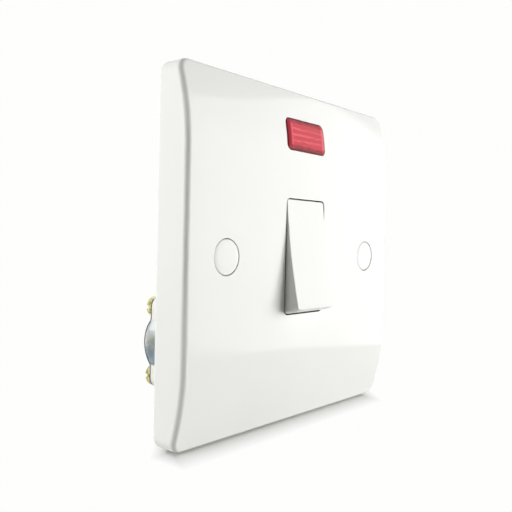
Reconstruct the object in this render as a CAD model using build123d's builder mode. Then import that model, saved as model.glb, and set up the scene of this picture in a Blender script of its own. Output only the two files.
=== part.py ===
"""Double pole switch: a moulded one-gang plate with a rocker, a neon lens and a cord clamp.

Frame, in millimetres: X to the right seen from the front, Y into the wall, Z up.
Y = 0 is the wall plane at the back of the plate, midway between its two fixing holes.
The switch stands OFF: the rocker's top is flush and its lower end stands out.
"""

import os
from math import cos, radians, sin, sqrt

from build123d import *

os.makedirs("parts", exist_ok=True)

# Front plate
PLATE_SIZE = 86.0
PLATE_DEPTH = 9.5
PLATE_WALL = 2.6
RIM_WALL = 2.4
PLATE_CORNER = 3.4
CROWN_FLAT = 46.0
CROWN_RADIUS = 57.0
EDGE_ROUND = 1.2
REAR_ROUND = 0.7
RIB_THICKNESS = 1.2
RIB_HEIGHT = 2.0
RIB_PITCH = 43.0

# Fixing holes and the caps over their screws
FIXING_PITCH = 60.3
FIXING_HOLE = 4.0
FIXING_BOSS = 11.5
HEAD_RECESS = 7.2
HEAD_RECESS_DEPTH = 3.4
CAP_DIAMETER = 8.2
CAP_THICKNESS = 1.6
CAP_GAP = 0.2
CAP_SKIRT_GAP = 0.08
CAP_SKIRT_WALL = 0.7
CAP_SKIRT_DEPTH = 0.8
CAP_CHAMFER = 0.15

# Rocker and its opening
OPENING_WIDTH = 16.8
OPENING_HEIGHT = 29.6
OPENING_CORNER = 1.4
ROCKER_SIDE_GAP = 0.3
ROCKER_END_GAP = 0.3
ROCKER_TILT = 9.0
ROCKER_DISH = 0.6
ROCKER_SKIRT = 2.0
ROCKER_WALL = 1.5
ROCKER_FRONT_WALL = 1.8
ROCKER_CORNER = 0.9
ROCKER_EDGE = 0.3
PRESSED_END_DEPTH = 0.1
PIVOT_DEPTH = 2.4
TRUNNION_RADIUS = 1.1
TRUNNION_LENGTH = 1.8
BEARING_CLEARANCE = 0.05

# Sprung plungers inside the rocker, one for each pole
POLE_PITCH = 8.0
BARREL_DIAMETER = 5.0
BARREL_END = 7.4
PLUNGER_DIAMETER = 3.2
PLUNGER_CLEARANCE = 0.08
PLUNGER_TOP = 3.2
PLUNGER_REACH = 9.6
PLUNGER_TIP_RADIUS = 1.0
PLUNGER_CONE = 1.4
SPRING_SEAT = 1.0
SPRING_WIRE = 0.45
SPRING_TURNS = 5
SPRING_GAP = 0.1

# Rocking contacts
CONTACT_TILT = 9.0
BAR_WIDTH = 5.0
BAR_THICKNESS = 1.2
BAR_ARM = 9.5
BAR_TAIL = 8.0
BAR_END = 1.8
FULCRUM_RADIUS = 0.8
FULCRUM_CLEARANCE = 0.05
TIP_CLEARANCE = 0.06
TIP_DIAMETER = 3.2
TIP_HEIGHT = 0.8
TIP_EDGE = 0.6
CONTACT_CLEARANCE = 0.22

# Wire terminals
TONGUE_DROP = 1.3
TONGUE_THICKNESS = 1.2
TONGUE_WIDTH = 5.0
TONGUE_LAP = 2.0
TERMINAL_PITCH_X = 19.0
TERMINAL_PITCH_Z = 37.2
BLOCK_WIDTH = 10.0
BLOCK_LENGTH = 9.2
BLOCK_DEPTH = 10.0
BLOCK_CHAMFER = 0.6
WIRE_BORE = 5.6
WIRE_BORE_DEPTH = 8.0
WIRE_BORE_SET = 4.6
TERMINAL_SCREW = 3.9
TERMINAL_SCREW_HEAD = 6.0
TERMINAL_SCREW_HEAD_HEIGHT = 2.2
TERMINAL_SCREW_LIFT = 0.5
SCREW_CLEARANCE = 0.05
SLOT_WIDTH = 1.0
SLOT_DEPTH = 1.1
HEAD_ROUND = 0.5

# Rear housing
BASE_WIDTH = 35.0
BASE_CORNER = 2.5
BASE_EDGE = 0.8
WAIST_LENGTH = 17.0
WAIST_DEPTH = 3.5
WAIST_CORNER = 1.5
BASE_FLOOR = 1.6
BASE_SET = 1.0
WELL_GAP = 0.6
WELL_END_GAP = 1.2
WELL_CORNER = 1.0
WELL_FLOOR = 2.0
COLLAR_WALL = 1.9
POLE_WALL = 2.0
POCKET_CLEARANCE = 0.1
ACCESS_GAP = 0.4
LUG_RADIUS = 3.8
LUG_THICKNESS = 3.0
LUG_HEAD_GAP = 1.2
SIDE_LUG_Z = 13.0
BASE_SCREW = 2.9
BASE_SCREW_LENGTH = 8.0
BASE_SCREW_HEAD = 5.6
BASE_SCREW_HEAD_HEIGHT = 2.0
BASE_BOSS = 6.5
HOLD_DOWN_SIDE = 3.0
HOLD_DOWN_X = 12.6
HOLD_DOWN_Z = 20.4

# Neon indicator
LENS_WIDTH = 16.5
LENS_HEIGHT = 8.1
LENS_Z = 31.05
LENS_CORNER = 1.5
LENS_PROUD = 0.5
LENS_BEVEL_WIDTH = 1.35
LENS_BEVEL_DROP = 0.42
LENS_GAP = 0.12
LENS_WALL = 1.0
LENS_ROOF = 1.4
LENS_FLANGE = 1.3
LENS_FLANGE_THICKNESS = 1.0
LENS_SEAT = 5.8
LENS_RIBS = 4
LENS_RIB_PITCH = 1.5
LENS_RIB_WIDTH = 0.8
LENS_RIB_DEPTH = 0.5
HOLDER_BACK = 0.6
HOLDER_WALL = 1.0
HOLDER_GAP = 0.1
HOLDER_COLLAR = 1.2
LAMP_RADIUS = 2.2
LAMP_LENGTH = 11.0
LAMP_GLASS = 0.5
LAMP_PINCH = 1.2
LAMP_NECK = 2.0
LAMP_RISE = 0.6
LAMP_SEAT_GAP = 0.05
ELECTRODE_RADIUS = 0.3
ELECTRODE_PITCH = 1.5
ELECTRODE_START = -2.5
RESISTOR_RADIUS = 0.9
RESISTOR_LENGTH = 6.4
RESISTOR_DROP = 2.75
LEAD_RADIUS = 0.45
LEAD_BEND = 0.9
LEAD_STRAIGHT = 1.2
LEAD_X = 8.0
LEAD_END_Z = 19.6
LEAD_NOTCH_GAP = 0.25
RESISTOR_WIRE_X = 6.7

# Cord clamp
CLAMP_BASE_GAP = 3.9
CLAMP_INSET_Z = 20.1
CLAMP_PITCH = 17.8
CLAMP_POST = 6.0
CLAMP_SET = 1.0
CLAMP_TOP = 18.6
CLAMP_CHANNEL_DEPTH = 11.5
STRAP_THICKNESS = 0.4
STRAP_WIDTH = 6.0
STRAP_END_ROUND = 2.9
STRAP_RISE = 2.4
STRAP_HEAD_GAP = 0.3
STRAP_BEND = 0.7
CLAMP_SCREW = 3.0
CLAMP_SCREW_END = 3.5
CLAMP_HEAD = 5.6
CLAMP_HEAD_SIDE = 1.5
CLAMP_HEAD_TOP = 3.6
CLAMP_HEAD_HEIGHT = 2.6
CLAMP_SLOT_DEPTH = 1.4
CLAMP_BOSS = 7.0

# Earth terminal
EARTH_BASE_GAP = 2.5
EARTH_INSET_Z = 19.5
EARTH_SEAT = 2.0
EARTH_WIDTH = 8.5
EARTH_PILLAR = 9.0
EARTH_SPIGOT = 3.0
EARTH_SPIGOT_LENGTH = 5.0

# Cutting shapes run this far past the faces they cut, and joined shapes reach this far in
OVERRUN = 1.0

# Sine and cosine of half a right angle, for the middle point of a quarter circle
HALF_RIGHT = sqrt(0.5)

# Depths along Y that follow from the sizes above
WALL_BACK = -(PLATE_DEPTH - PLATE_WALL)
BASE_FRONT = -BASE_SET
PIVOT_Y = -PLATE_DEPTH + PIVOT_DEPTH
BAR_BACK_RISE = FULCRUM_RADIUS + FULCRUM_CLEARANCE
BAR_FRONT_RISE = BAR_BACK_RISE + BAR_THICKNESS
CONTACT_Y = PIVOT_Y + PLUNGER_REACH + PLUNGER_TIP_RADIUS + BAR_FRONT_RISE + TIP_CLEARANCE
TONGUE_FRONT = CONTACT_Y + TONGUE_DROP
BLOCK_BACK = TONGUE_FRONT + BLOCK_DEPTH
BORE_Y = TONGUE_FRONT + WIRE_BORE_SET
BASE_BACK = BLOCK_BACK + BASE_FLOOR
TILT_SIN = sin(radians(CONTACT_TILT))
TILT_COS = cos(radians(CONTACT_TILT))
CLOSED_TIP_Y = CONTACT_Y + BAR_ARM * TILT_SIN - (BAR_BACK_RISE - TIP_HEIGHT) * TILT_COS
LOAD_TONGUE_FRONT = CLOSED_TIP_Y + CONTACT_CLEARANCE + TIP_HEIGHT
CLAMP_SEAT = -CLAMP_SET
STRAP_BACK = CLAMP_TOP + STRAP_THICKNESS
STRAP_CHORD = CLAMP_PITCH - CLAMP_HEAD - 2 * STRAP_HEAD_GAP
EARTH_BACK = EARTH_SEAT + BLOCK_DEPTH
LAMP_Y = -(HOLDER_BACK + HOLDER_WALL + LAMP_SEAT_GAP + LAMP_RADIUS)
RESISTOR_Y = -(HOLDER_BACK + HOLDER_WALL + LAMP_SEAT_GAP + RESISTOR_RADIUS)

# Places across the face that follow from the sizes above
POLE_X = POLE_PITCH / 2
TERMINAL_X = TERMINAL_PITCH_X / 2
TERMINAL_Z = TERMINAL_PITCH_Z / 2
FIXING_X = FIXING_PITCH / 2
BASE_HEIGHT = TERMINAL_PITCH_Z + BLOCK_LENGTH
LUG_REACH = BASE_SCREW_HEAD / 2 + LUG_HEAD_GAP
SIDE_LUG_X = BASE_WIDTH / 2 + LUG_REACH
LOWER_LUG_Z = -(BASE_HEIGHT / 2 + LUG_REACH)
LUG_PLACES = [(-SIDE_LUG_X, SIDE_LUG_Z), (SIDE_LUG_X, SIDE_LUG_Z), (0, LOWER_LUG_Z)]
CLAMP_X = -(BASE_WIDTH / 2 + CLAMP_BASE_GAP + CLAMP_POST / 2)
CLAMP_Z = -(PLATE_SIZE / 2 - CLAMP_INSET_Z)
EARTH_X = BASE_WIDTH / 2 + EARTH_BASE_GAP + EARTH_PILLAR / 2
EARTH_Z = -(PLATE_SIZE / 2 - EARTH_INSET_Z)
CLAMP_PLACES = [(CLAMP_X, CLAMP_Z + CLAMP_PITCH / 2), (CLAMP_X, CLAMP_Z - CLAMP_PITCH / 2)]
LAMP_Z = LENS_Z + LAMP_RISE
RESISTOR_Z = LENS_Z - RESISTOR_DROP
UPPER_ELECTRODE_Z = LAMP_Z + ELECTRODE_PITCH / 2
LOWER_ELECTRODE_Z = LAMP_Z - ELECTRODE_PITCH / 2
HOLDER_WIDTH = LENS_WIDTH + 2 * LENS_FLANGE
HOLDER_HEIGHT = LENS_HEIGHT + 2 * LENS_FLANGE
SIDES = {"left": -1, "right": 1}

# The rocker's own frame: x along the pivot, y up the rocker, z out of its face
ROCKER_SIN = sin(radians(ROCKER_TILT))
ROCKER_COS = cos(radians(ROCKER_TILT))
PRESSED_RISE = PIVOT_DEPTH - PRESSED_END_DEPTH
ROCKER_WIDTH = OPENING_WIDTH - 2 * ROCKER_SIDE_GAP
ROCKER_HALF = ROCKER_COS * (OPENING_HEIGHT / 2 - ROCKER_END_GAP) - ROCKER_SIN * PRESSED_RISE
ROCKER_EDGE_RISE = (PRESSED_RISE + ROCKER_HALF * ROCKER_SIN) / ROCKER_COS
ROCKER_ROOF = ROCKER_EDGE_RISE - ROCKER_DISH - ROCKER_FRONT_WALL
ROCKER_END_RADIUS = sqrt(ROCKER_HALF**2 + ROCKER_EDGE_RISE**2)
ROCKER_FOOT = sqrt(ROCKER_END_RADIUS**2 - ROCKER_SKIRT**2)
rocker_front = Plane((0, PIVOT_Y, 0), x_dir=(1, 0, 0), z_dir=(0, -ROCKER_COS, ROCKER_SIN))
rocker_side = Plane((0, PIVOT_Y, 0), x_dir=(0, ROCKER_SIN, ROCKER_COS), z_dir=(1, 0, 0))

# The rocking contacts' frame, tipped the other way
bar_front = Plane((0, CONTACT_Y, 0), x_dir=(1, 0, 0), z_dir=(0, -TILT_COS, -TILT_SIN))


def at_depth(y):
    """Plane across the switch at depth y: x is X, y is Z and its normal points to the front."""
    return Plane.XZ.offset(-y)


def crown_section(inset):
    """Side view of the crowned plate front, moved back by inset and run past the edges."""
    half = PLATE_SIZE / 2 + OVERRUN
    flat = CROWN_FLAT / 2
    face = -PLATE_DEPTH + inset
    radius = CROWN_RADIUS - inset
    edge = face + radius - sqrt(radius**2 - (half - flat) ** 2)
    with BuildSketch(Plane.YZ) as section:
        with BuildLine():
            front = Line((face, -flat), (face, flat))
            TangentArc(front @ 1, (edge, half), tangent=front % 1)
            Polyline((edge, half), (PLATE_SIZE, half), (PLATE_SIZE, -half), (edge, -half))
            TangentArc(front @ 0, (edge, -half), tangent=(front % 0) * -1)
        make_face()
    return section.sketch


# Collar round the lamp tray, ending halfway through the crowned front wall
with BuildPart() as lens_collar:
    with BuildSketch(at_depth(-HOLDER_BACK)):
        with Locations((0, LENS_Z)):
            Rectangle(
                HOLDER_WIDTH + 2 * HOLDER_GAP + 2 * HOLDER_COLLAR,
                HOLDER_HEIGHT + 2 * HOLDER_GAP + 2 * HOLDER_COLLAR,
            )
    extrude(amount=PLATE_DEPTH)
    extrude(crown_section(PLATE_WALL / 2), amount=PLATE_SIZE, both=True, mode=Mode.INTERSECT)

# Hollow behind the plate's front wall, with the stiffening ribs left standing in it
with BuildPart() as plate_hollow:
    with BuildSketch(at_depth(OVERRUN)):
        Rectangle(PLATE_SIZE - 2 * RIM_WALL, PLATE_SIZE - 2 * RIM_WALL)
    extrude(amount=PLATE_DEPTH + OVERRUN)
    extrude(crown_section(PLATE_WALL), amount=PLATE_SIZE, both=True, mode=Mode.INTERSECT)
    with BuildSketch(at_depth(WALL_BACK + RIB_HEIGHT)):
        with GridLocations(RIB_PITCH, 0, 2, 1):
            Rectangle(RIB_THICKNESS, PLATE_SIZE)
        with GridLocations(0, RIB_PITCH, 1, 2):
            Rectangle(PLATE_SIZE, RIB_THICKNESS)
    extrude(amount=RIB_HEIGHT + OVERRUN, mode=Mode.SUBTRACT)

# Front plate: crowned shell, ribs, bosses, lens pocket and rocker bearings
with BuildPart() as front_plate:
    with BuildSketch(at_depth(0)):
        RectangleRounded(PLATE_SIZE, PLATE_SIZE, PLATE_CORNER)
    extrude(amount=PLATE_DEPTH)
    extrude(crown_section(0), amount=PLATE_SIZE, both=True, mode=Mode.INTERSECT)
    outline_start = PLATE_SIZE / 2 - PLATE_CORNER
    front_edges = front_plate.edges().filter_by(
        lambda edge: edge.center().Y < WALL_BACK + PLATE_WALL / 2
        and max(abs(edge.center().X), abs(edge.center().Z)) > outline_start
    )
    fillet(front_edges, EDGE_ROUND)
    fillet(front_plate.faces().sort_by(Axis.Y)[-1].edges(), REAR_ROUND)
    add(plate_hollow.part, mode=Mode.SUBTRACT)

    with BuildSketch(at_depth(0)):
        with GridLocations(FIXING_PITCH, 0, 2, 1):
            Circle(FIXING_BOSS / 2)
    extrude(amount=-WALL_BACK + OVERRUN)
    with BuildSketch(at_depth(BASE_FRONT)):
        with Locations(*LUG_PLACES):
            Circle(BASE_BOSS / 2)
    extrude(amount=BASE_FRONT - WALL_BACK + OVERRUN)
    with BuildSketch(at_depth(CLAMP_SEAT)):
        with Locations(*CLAMP_PLACES):
            Circle(CLAMP_BOSS / 2)
    extrude(amount=CLAMP_SEAT - WALL_BACK + OVERRUN)
    with BuildSketch(at_depth(EARTH_SEAT)):
        with Locations((EARTH_X, EARTH_Z)):
            Rectangle(EARTH_PILLAR, EARTH_PILLAR)
    extrude(amount=EARTH_SEAT - WALL_BACK + OVERRUN)
    with BuildSketch(at_depth(TONGUE_FRONT)):
        with GridLocations(2 * HOLD_DOWN_X, 2 * HOLD_DOWN_Z, 2, 2):
            Rectangle(HOLD_DOWN_SIDE, HOLD_DOWN_SIDE)
    extrude(amount=TONGUE_FRONT - WALL_BACK + OVERRUN)
    add(lens_collar.part)

    with BuildSketch(at_depth(-LENS_SEAT)):
        with Locations((0, LENS_Z)):
            Rectangle(HOLDER_WIDTH + 2 * HOLDER_GAP, HOLDER_HEIGHT + 2 * HOLDER_GAP)
    extrude(amount=-LENS_SEAT, mode=Mode.SUBTRACT)
    with BuildSketch(at_depth(0)):
        RectangleRounded(OPENING_WIDTH, OPENING_HEIGHT, OPENING_CORNER)
        with Locations((0, LENS_Z)):
            RectangleRounded(
                LENS_WIDTH + 2 * LENS_GAP, LENS_HEIGHT + 2 * LENS_GAP, LENS_CORNER + LENS_GAP
            )
        with GridLocations(FIXING_PITCH, 0, 2, 1):
            Circle(FIXING_HOLE / 2)
    extrude(amount=PLATE_DEPTH + OVERRUN, mode=Mode.SUBTRACT)
    with BuildSketch(at_depth(-PLATE_DEPTH + CAP_THICKNESS)):
        with GridLocations(FIXING_PITCH, 0, 2, 1):
            Circle(CAP_DIAMETER / 2 + CAP_GAP)
    extrude(amount=CAP_THICKNESS + OVERRUN, mode=Mode.SUBTRACT)
    with BuildSketch(at_depth(-PLATE_DEPTH + CAP_THICKNESS + HEAD_RECESS_DEPTH)):
        with GridLocations(FIXING_PITCH, 0, 2, 1):
            Circle(HEAD_RECESS / 2)
    extrude(amount=HEAD_RECESS_DEPTH, mode=Mode.SUBTRACT)

    with BuildSketch(at_depth(BASE_FRONT)):
        with Locations(*LUG_PLACES):
            Circle(BASE_SCREW / 2 + SCREW_CLEARANCE)
    extrude(amount=BASE_FRONT - WALL_BACK, mode=Mode.SUBTRACT)
    with BuildSketch(at_depth(CLAMP_SEAT)):
        with Locations(*CLAMP_PLACES):
            Circle(CLAMP_SCREW / 2 + SCREW_CLEARANCE)
    extrude(amount=CLAMP_SEAT - WALL_BACK, mode=Mode.SUBTRACT)
    with BuildSketch(at_depth(EARTH_SEAT)):
        with Locations((EARTH_X, EARTH_Z)):
            Circle(EARTH_SPIGOT / 2 + SCREW_CLEARANCE)
    extrude(amount=EARTH_SPIGOT_LENGTH + OVERRUN, mode=Mode.SUBTRACT)

    with BuildSketch(Plane.YZ):
        with Locations((PIVOT_Y, 0)):
            Circle(TRUNNION_RADIUS + BEARING_CLEARANCE)
            Rectangle(
                PIVOT_DEPTH,
                2 * (TRUNNION_RADIUS + BEARING_CLEARANCE),
                align=(Align.MIN, Align.CENTER),
            )
    extrude(amount=ROCKER_WIDTH / 2 + TRUNNION_LENGTH + ROCKER_SIDE_GAP, both=True, mode=Mode.SUBTRACT)
    with BuildSketch(at_depth(0)):
        with Locations((0, LENS_Z - HOLDER_HEIGHT / 2)):
            with GridLocations(2 * LEAD_X, 0, 2, 1):
                Rectangle(2 * (LEAD_RADIUS + LEAD_NOTCH_GAP), 4 * HOLDER_COLLAR)
    extrude(amount=-LAMP_Y + LEAD_RADIUS + LEAD_NOTCH_GAP, mode=Mode.SUBTRACT)
front_plate.part.label = "front_plate"
export_step(front_plate.part, "parts/front_plate.step")

# Rocker: dished front, ends rounded about the pivot, hollow back, two spring barrels and two trunnions
with BuildPart() as rocker:
    with BuildSketch(rocker_side):
        with BuildLine():
            dish = ThreePointArc(
                (-ROCKER_HALF, ROCKER_EDGE_RISE),
                (0, ROCKER_EDGE_RISE - ROCKER_DISH),
                (ROCKER_HALF, ROCKER_EDGE_RISE),
            )
            upper_end = ThreePointArc(dish @ 1, (ROCKER_END_RADIUS, 0), (ROCKER_FOOT, -ROCKER_SKIRT))
            lower_end = ThreePointArc(dish @ 0, (-ROCKER_END_RADIUS, 0), (-ROCKER_FOOT, -ROCKER_SKIRT))
            Line(upper_end @ 1, lower_end @ 1)
        make_face()
    extrude(amount=ROCKER_WIDTH / 2, both=True)
    end_corners = rocker.edges().filter_by(
        lambda edge: abs(edge.center().X) > ROCKER_WIDTH / 4
        and abs(edge.center().Z) > ROCKER_HALF / 2
    )
    fillet(end_corners, ROCKER_CORNER)
    front_face = rocker.faces().filter_by(GeomType.CYLINDER).sort_by(SortBy.AREA)[-1]
    fillet(front_face.edges(), ROCKER_EDGE)
    with BuildSketch(rocker_front.offset(-ROCKER_SKIRT)):
        Rectangle(ROCKER_WIDTH - 2 * ROCKER_WALL, 2 * (ROCKER_HALF - ROCKER_WALL))
    extrude(amount=ROCKER_SKIRT + ROCKER_ROOF, mode=Mode.SUBTRACT)
    with BuildSketch(rocker_front.offset(-BARREL_END)):
        with GridLocations(POLE_PITCH, 0, 2, 1):
            Circle(BARREL_DIAMETER / 2)
    extrude(amount=BARREL_END + ROCKER_ROOF + ROCKER_FRONT_WALL / 2)
    with BuildSketch(rocker_front.offset(-BARREL_END)):
        with GridLocations(POLE_PITCH, 0, 2, 1):
            Circle(PLUNGER_DIAMETER / 2 + PLUNGER_CLEARANCE)
    extrude(amount=BARREL_END + SPRING_SEAT, mode=Mode.SUBTRACT)
    for end in SIDES.values():
        with BuildSketch(rocker_side.offset(end * (ROCKER_WIDTH / 2 - ROCKER_WALL / 2))):
            Circle(TRUNNION_RADIUS)
        extrude(amount=end * (TRUNNION_LENGTH + ROCKER_WALL / 2))
rocker.part.label = "rocker"
export_step(rocker.part, "parts/rocker.step")

# Plungers and their springs
for side, sign in SIDES.items():
    pole_side = rocker_side.offset(sign * POLE_X)
    with BuildPart() as plunger:
        with BuildSketch(pole_side):
            with BuildLine():
                tip = ThreePointArc(
                    (PLUNGER_TIP_RADIUS, -PLUNGER_REACH),
                    (PLUNGER_TIP_RADIUS * HALF_RIGHT, -PLUNGER_REACH - PLUNGER_TIP_RADIUS * HALF_RIGHT),
                    (0, -PLUNGER_REACH - PLUNGER_TIP_RADIUS),
                )
                Polyline(
                    tip @ 1,
                    (0, -PLUNGER_TOP),
                    (PLUNGER_DIAMETER / 2, -PLUNGER_TOP),
                    (PLUNGER_DIAMETER / 2, -PLUNGER_REACH + PLUNGER_CONE),
                    tip @ 0,
                )
            make_face()
        revolve(axis=Axis(pole_side.origin, pole_side.y_dir))
    plunger.part.label = f"plunger_{side}"
    export_step(plunger.part, f"parts/plunger_{side}.step")

    spring_length = SPRING_SEAT + PLUNGER_TOP - SPRING_WIRE - 2 * SPRING_GAP
    spring_radius = PLUNGER_DIAMETER / 2 - SPRING_WIRE / 2 - SPRING_GAP
    spring_start = rocker_front.offset(-PLUNGER_TOP + SPRING_WIRE / 2 + SPRING_GAP)
    with BuildPart() as plunger_spring:
        with BuildLine():
            coil = Helix(
                spring_length / SPRING_TURNS,
                spring_length,
                spring_radius,
                center=spring_start.from_local_coords((sign * POLE_X, 0, 0)),
                direction=spring_start.z_dir,
            )
        with BuildSketch(Plane(coil @ 0, z_dir=coil % 0)):
            RegularPolygon(SPRING_WIRE / 2, 8)
        sweep(is_frenet=True)
    plunger_spring.part.label = f"plunger_spring_{side}"
    export_step(plunger_spring.part, f"parts/plunger_spring_{side}.step")

# Rocking contact bars, their tips and the terminals of each pole
for side, sign in SIDES.items():
    with BuildPart() as contact_bar:
        with BuildSketch(bar_front.offset(BAR_BACK_RISE)):
            with Locations((sign * POLE_X, (BAR_ARM + BAR_END - BAR_TAIL) / 2)):
                RectangleRounded(BAR_WIDTH, BAR_ARM + BAR_END + BAR_TAIL, BAR_WIDTH / 4)
        extrude(amount=BAR_THICKNESS)
    contact_bar.part.label = f"contact_bar_{side}"
    export_step(contact_bar.part, f"parts/contact_bar_{side}.step")

    with BuildPart() as moving_tip:
        with BuildSketch(bar_front.offset(BAR_BACK_RISE)):
            with Locations((sign * POLE_X, BAR_ARM)):
                Circle(TIP_DIAMETER / 2)
        extrude(amount=-TIP_HEIGHT)
        fillet(moving_tip.edges().sort_by(Axis.Y)[-1], TIP_EDGE)
    moving_tip.part.label = f"moving_tip_{side}"
    export_step(moving_tip.part, f"parts/moving_tip_{side}.step")

    with BuildPart() as supply_terminal:
        with BuildSketch(at_depth(BLOCK_BACK)):
            with Locations((sign * TERMINAL_X, -TERMINAL_Z)):
                Rectangle(BLOCK_WIDTH, BLOCK_LENGTH)
        extrude(amount=BLOCK_DEPTH)
        chamfer(supply_terminal.edges().filter_by(Axis.Z), BLOCK_CHAMFER)
        tongue_top = FULCRUM_RADIUS * 2
        tongue_end = -TERMINAL_Z + BLOCK_LENGTH / 2 - TONGUE_LAP
        with BuildSketch(at_depth(TONGUE_FRONT + TONGUE_THICKNESS)):
            with Locations((sign * POLE_X, (tongue_top + tongue_end) / 2)):
                Rectangle(TONGUE_WIDTH, tongue_top - tongue_end)
        extrude(amount=TONGUE_THICKNESS)
        with BuildSketch(Plane.YZ.offset(sign * POLE_X)):
            with Locations((CONTACT_Y, 0)):
                Circle(FULCRUM_RADIUS)
                Rectangle(
                    TONGUE_DROP + TONGUE_THICKNESS / 2,
                    2 * FULCRUM_RADIUS,
                    align=(Align.MIN, Align.CENTER),
                )
        extrude(amount=TONGUE_WIDTH / 2, both=True)
        with BuildSketch(Plane.XY.offset(-TERMINAL_Z - BLOCK_LENGTH / 2)):
            with Locations((sign * TERMINAL_X, BORE_Y)):
                Circle(WIRE_BORE / 2)
        extrude(amount=WIRE_BORE_DEPTH, mode=Mode.SUBTRACT)
        with BuildSketch(at_depth(BLOCK_BACK)):
            with Locations((sign * TERMINAL_X, -TERMINAL_Z)):
                Circle(TERMINAL_SCREW / 2 + SCREW_CLEARANCE)
        extrude(amount=BLOCK_BACK - BORE_Y, mode=Mode.SUBTRACT)
    supply_terminal.part.label = f"supply_terminal_{side}"
    export_step(supply_terminal.part, f"parts/supply_terminal_{side}.step")

    with BuildPart() as load_terminal:
        with BuildSketch(at_depth(BLOCK_BACK)):
            with Locations((sign * TERMINAL_X, TERMINAL_Z)):
                Rectangle(BLOCK_WIDTH, BLOCK_LENGTH)
        extrude(amount=BLOCK_DEPTH)
        chamfer(load_terminal.edges().filter_by(Axis.Z), BLOCK_CHAMFER)
        tongue_bottom = BAR_ARM - TIP_DIAMETER
        tongue_end = TERMINAL_Z - BLOCK_LENGTH / 2 + TONGUE_LAP
        with BuildSketch(at_depth(LOAD_TONGUE_FRONT + TONGUE_THICKNESS)):
            with Locations((sign * POLE_X, (tongue_bottom + tongue_end) / 2)):
                Rectangle(TONGUE_WIDTH, tongue_end - tongue_bottom)
        extrude(amount=TONGUE_THICKNESS)
        with BuildSketch(Plane.XY.offset(TERMINAL_Z + BLOCK_LENGTH / 2)):
            with Locations((sign * TERMINAL_X, BORE_Y)):
                Circle(WIRE_BORE / 2)
        extrude(amount=-WIRE_BORE_DEPTH, mode=Mode.SUBTRACT)
        with BuildSketch(at_depth(BLOCK_BACK)):
            with Locations((sign * TERMINAL_X, TERMINAL_Z)):
                Circle(TERMINAL_SCREW / 2 + SCREW_CLEARANCE)
        extrude(amount=BLOCK_BACK - BORE_Y, mode=Mode.SUBTRACT)
    load_terminal.part.label = f"load_terminal_{side}"
    export_step(load_terminal.part, f"parts/load_terminal_{side}.step")

with BuildPart() as fixed_tips:
    with BuildSketch(at_depth(LOAD_TONGUE_FRONT)):
        with Locations((-POLE_X, BAR_ARM), (POLE_X, BAR_ARM)):
            Circle(TIP_DIAMETER / 2)
    extrude(amount=TIP_HEIGHT)
fixed_tips.part.label = "fixed_tips"
export_step(fixed_tips.part, "parts/fixed_tips.step")

# Slotted terminal screws, backed off so that the wire bores are clear
with BuildPart() as terminal_screws:
    head_back = BLOCK_BACK + TERMINAL_SCREW_LIFT + TERMINAL_SCREW_HEAD_HEIGHT
    with BuildSketch(at_depth(head_back)):
        with GridLocations(TERMINAL_PITCH_X, TERMINAL_PITCH_Z, 2, 2):
            Circle(TERMINAL_SCREW_HEAD / 2)
    extrude(amount=TERMINAL_SCREW_HEAD_HEIGHT)
    fillet(terminal_screws.edges().group_by(Axis.Y)[-1], HEAD_ROUND)
    with BuildSketch(at_depth(head_back)):
        with GridLocations(TERMINAL_PITCH_X, TERMINAL_PITCH_Z, 2, 2):
            Rectangle(SLOT_WIDTH, TERMINAL_SCREW_HEAD + OVERRUN)
    extrude(amount=SLOT_DEPTH, mode=Mode.SUBTRACT)
    with BuildSketch(at_depth(BLOCK_BACK + TERMINAL_SCREW_LIFT)):
        with GridLocations(TERMINAL_PITCH_X, TERMINAL_PITCH_Z, 2, 2):
            Circle(TERMINAL_SCREW / 2)
    extrude(amount=BLOCK_BACK + TERMINAL_SCREW_LIFT - BORE_Y - WIRE_BORE / 2)
terminal_screws.part.label = "terminal_screws"
export_step(terminal_screws.part, "parts/terminal_screws.step")

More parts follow.
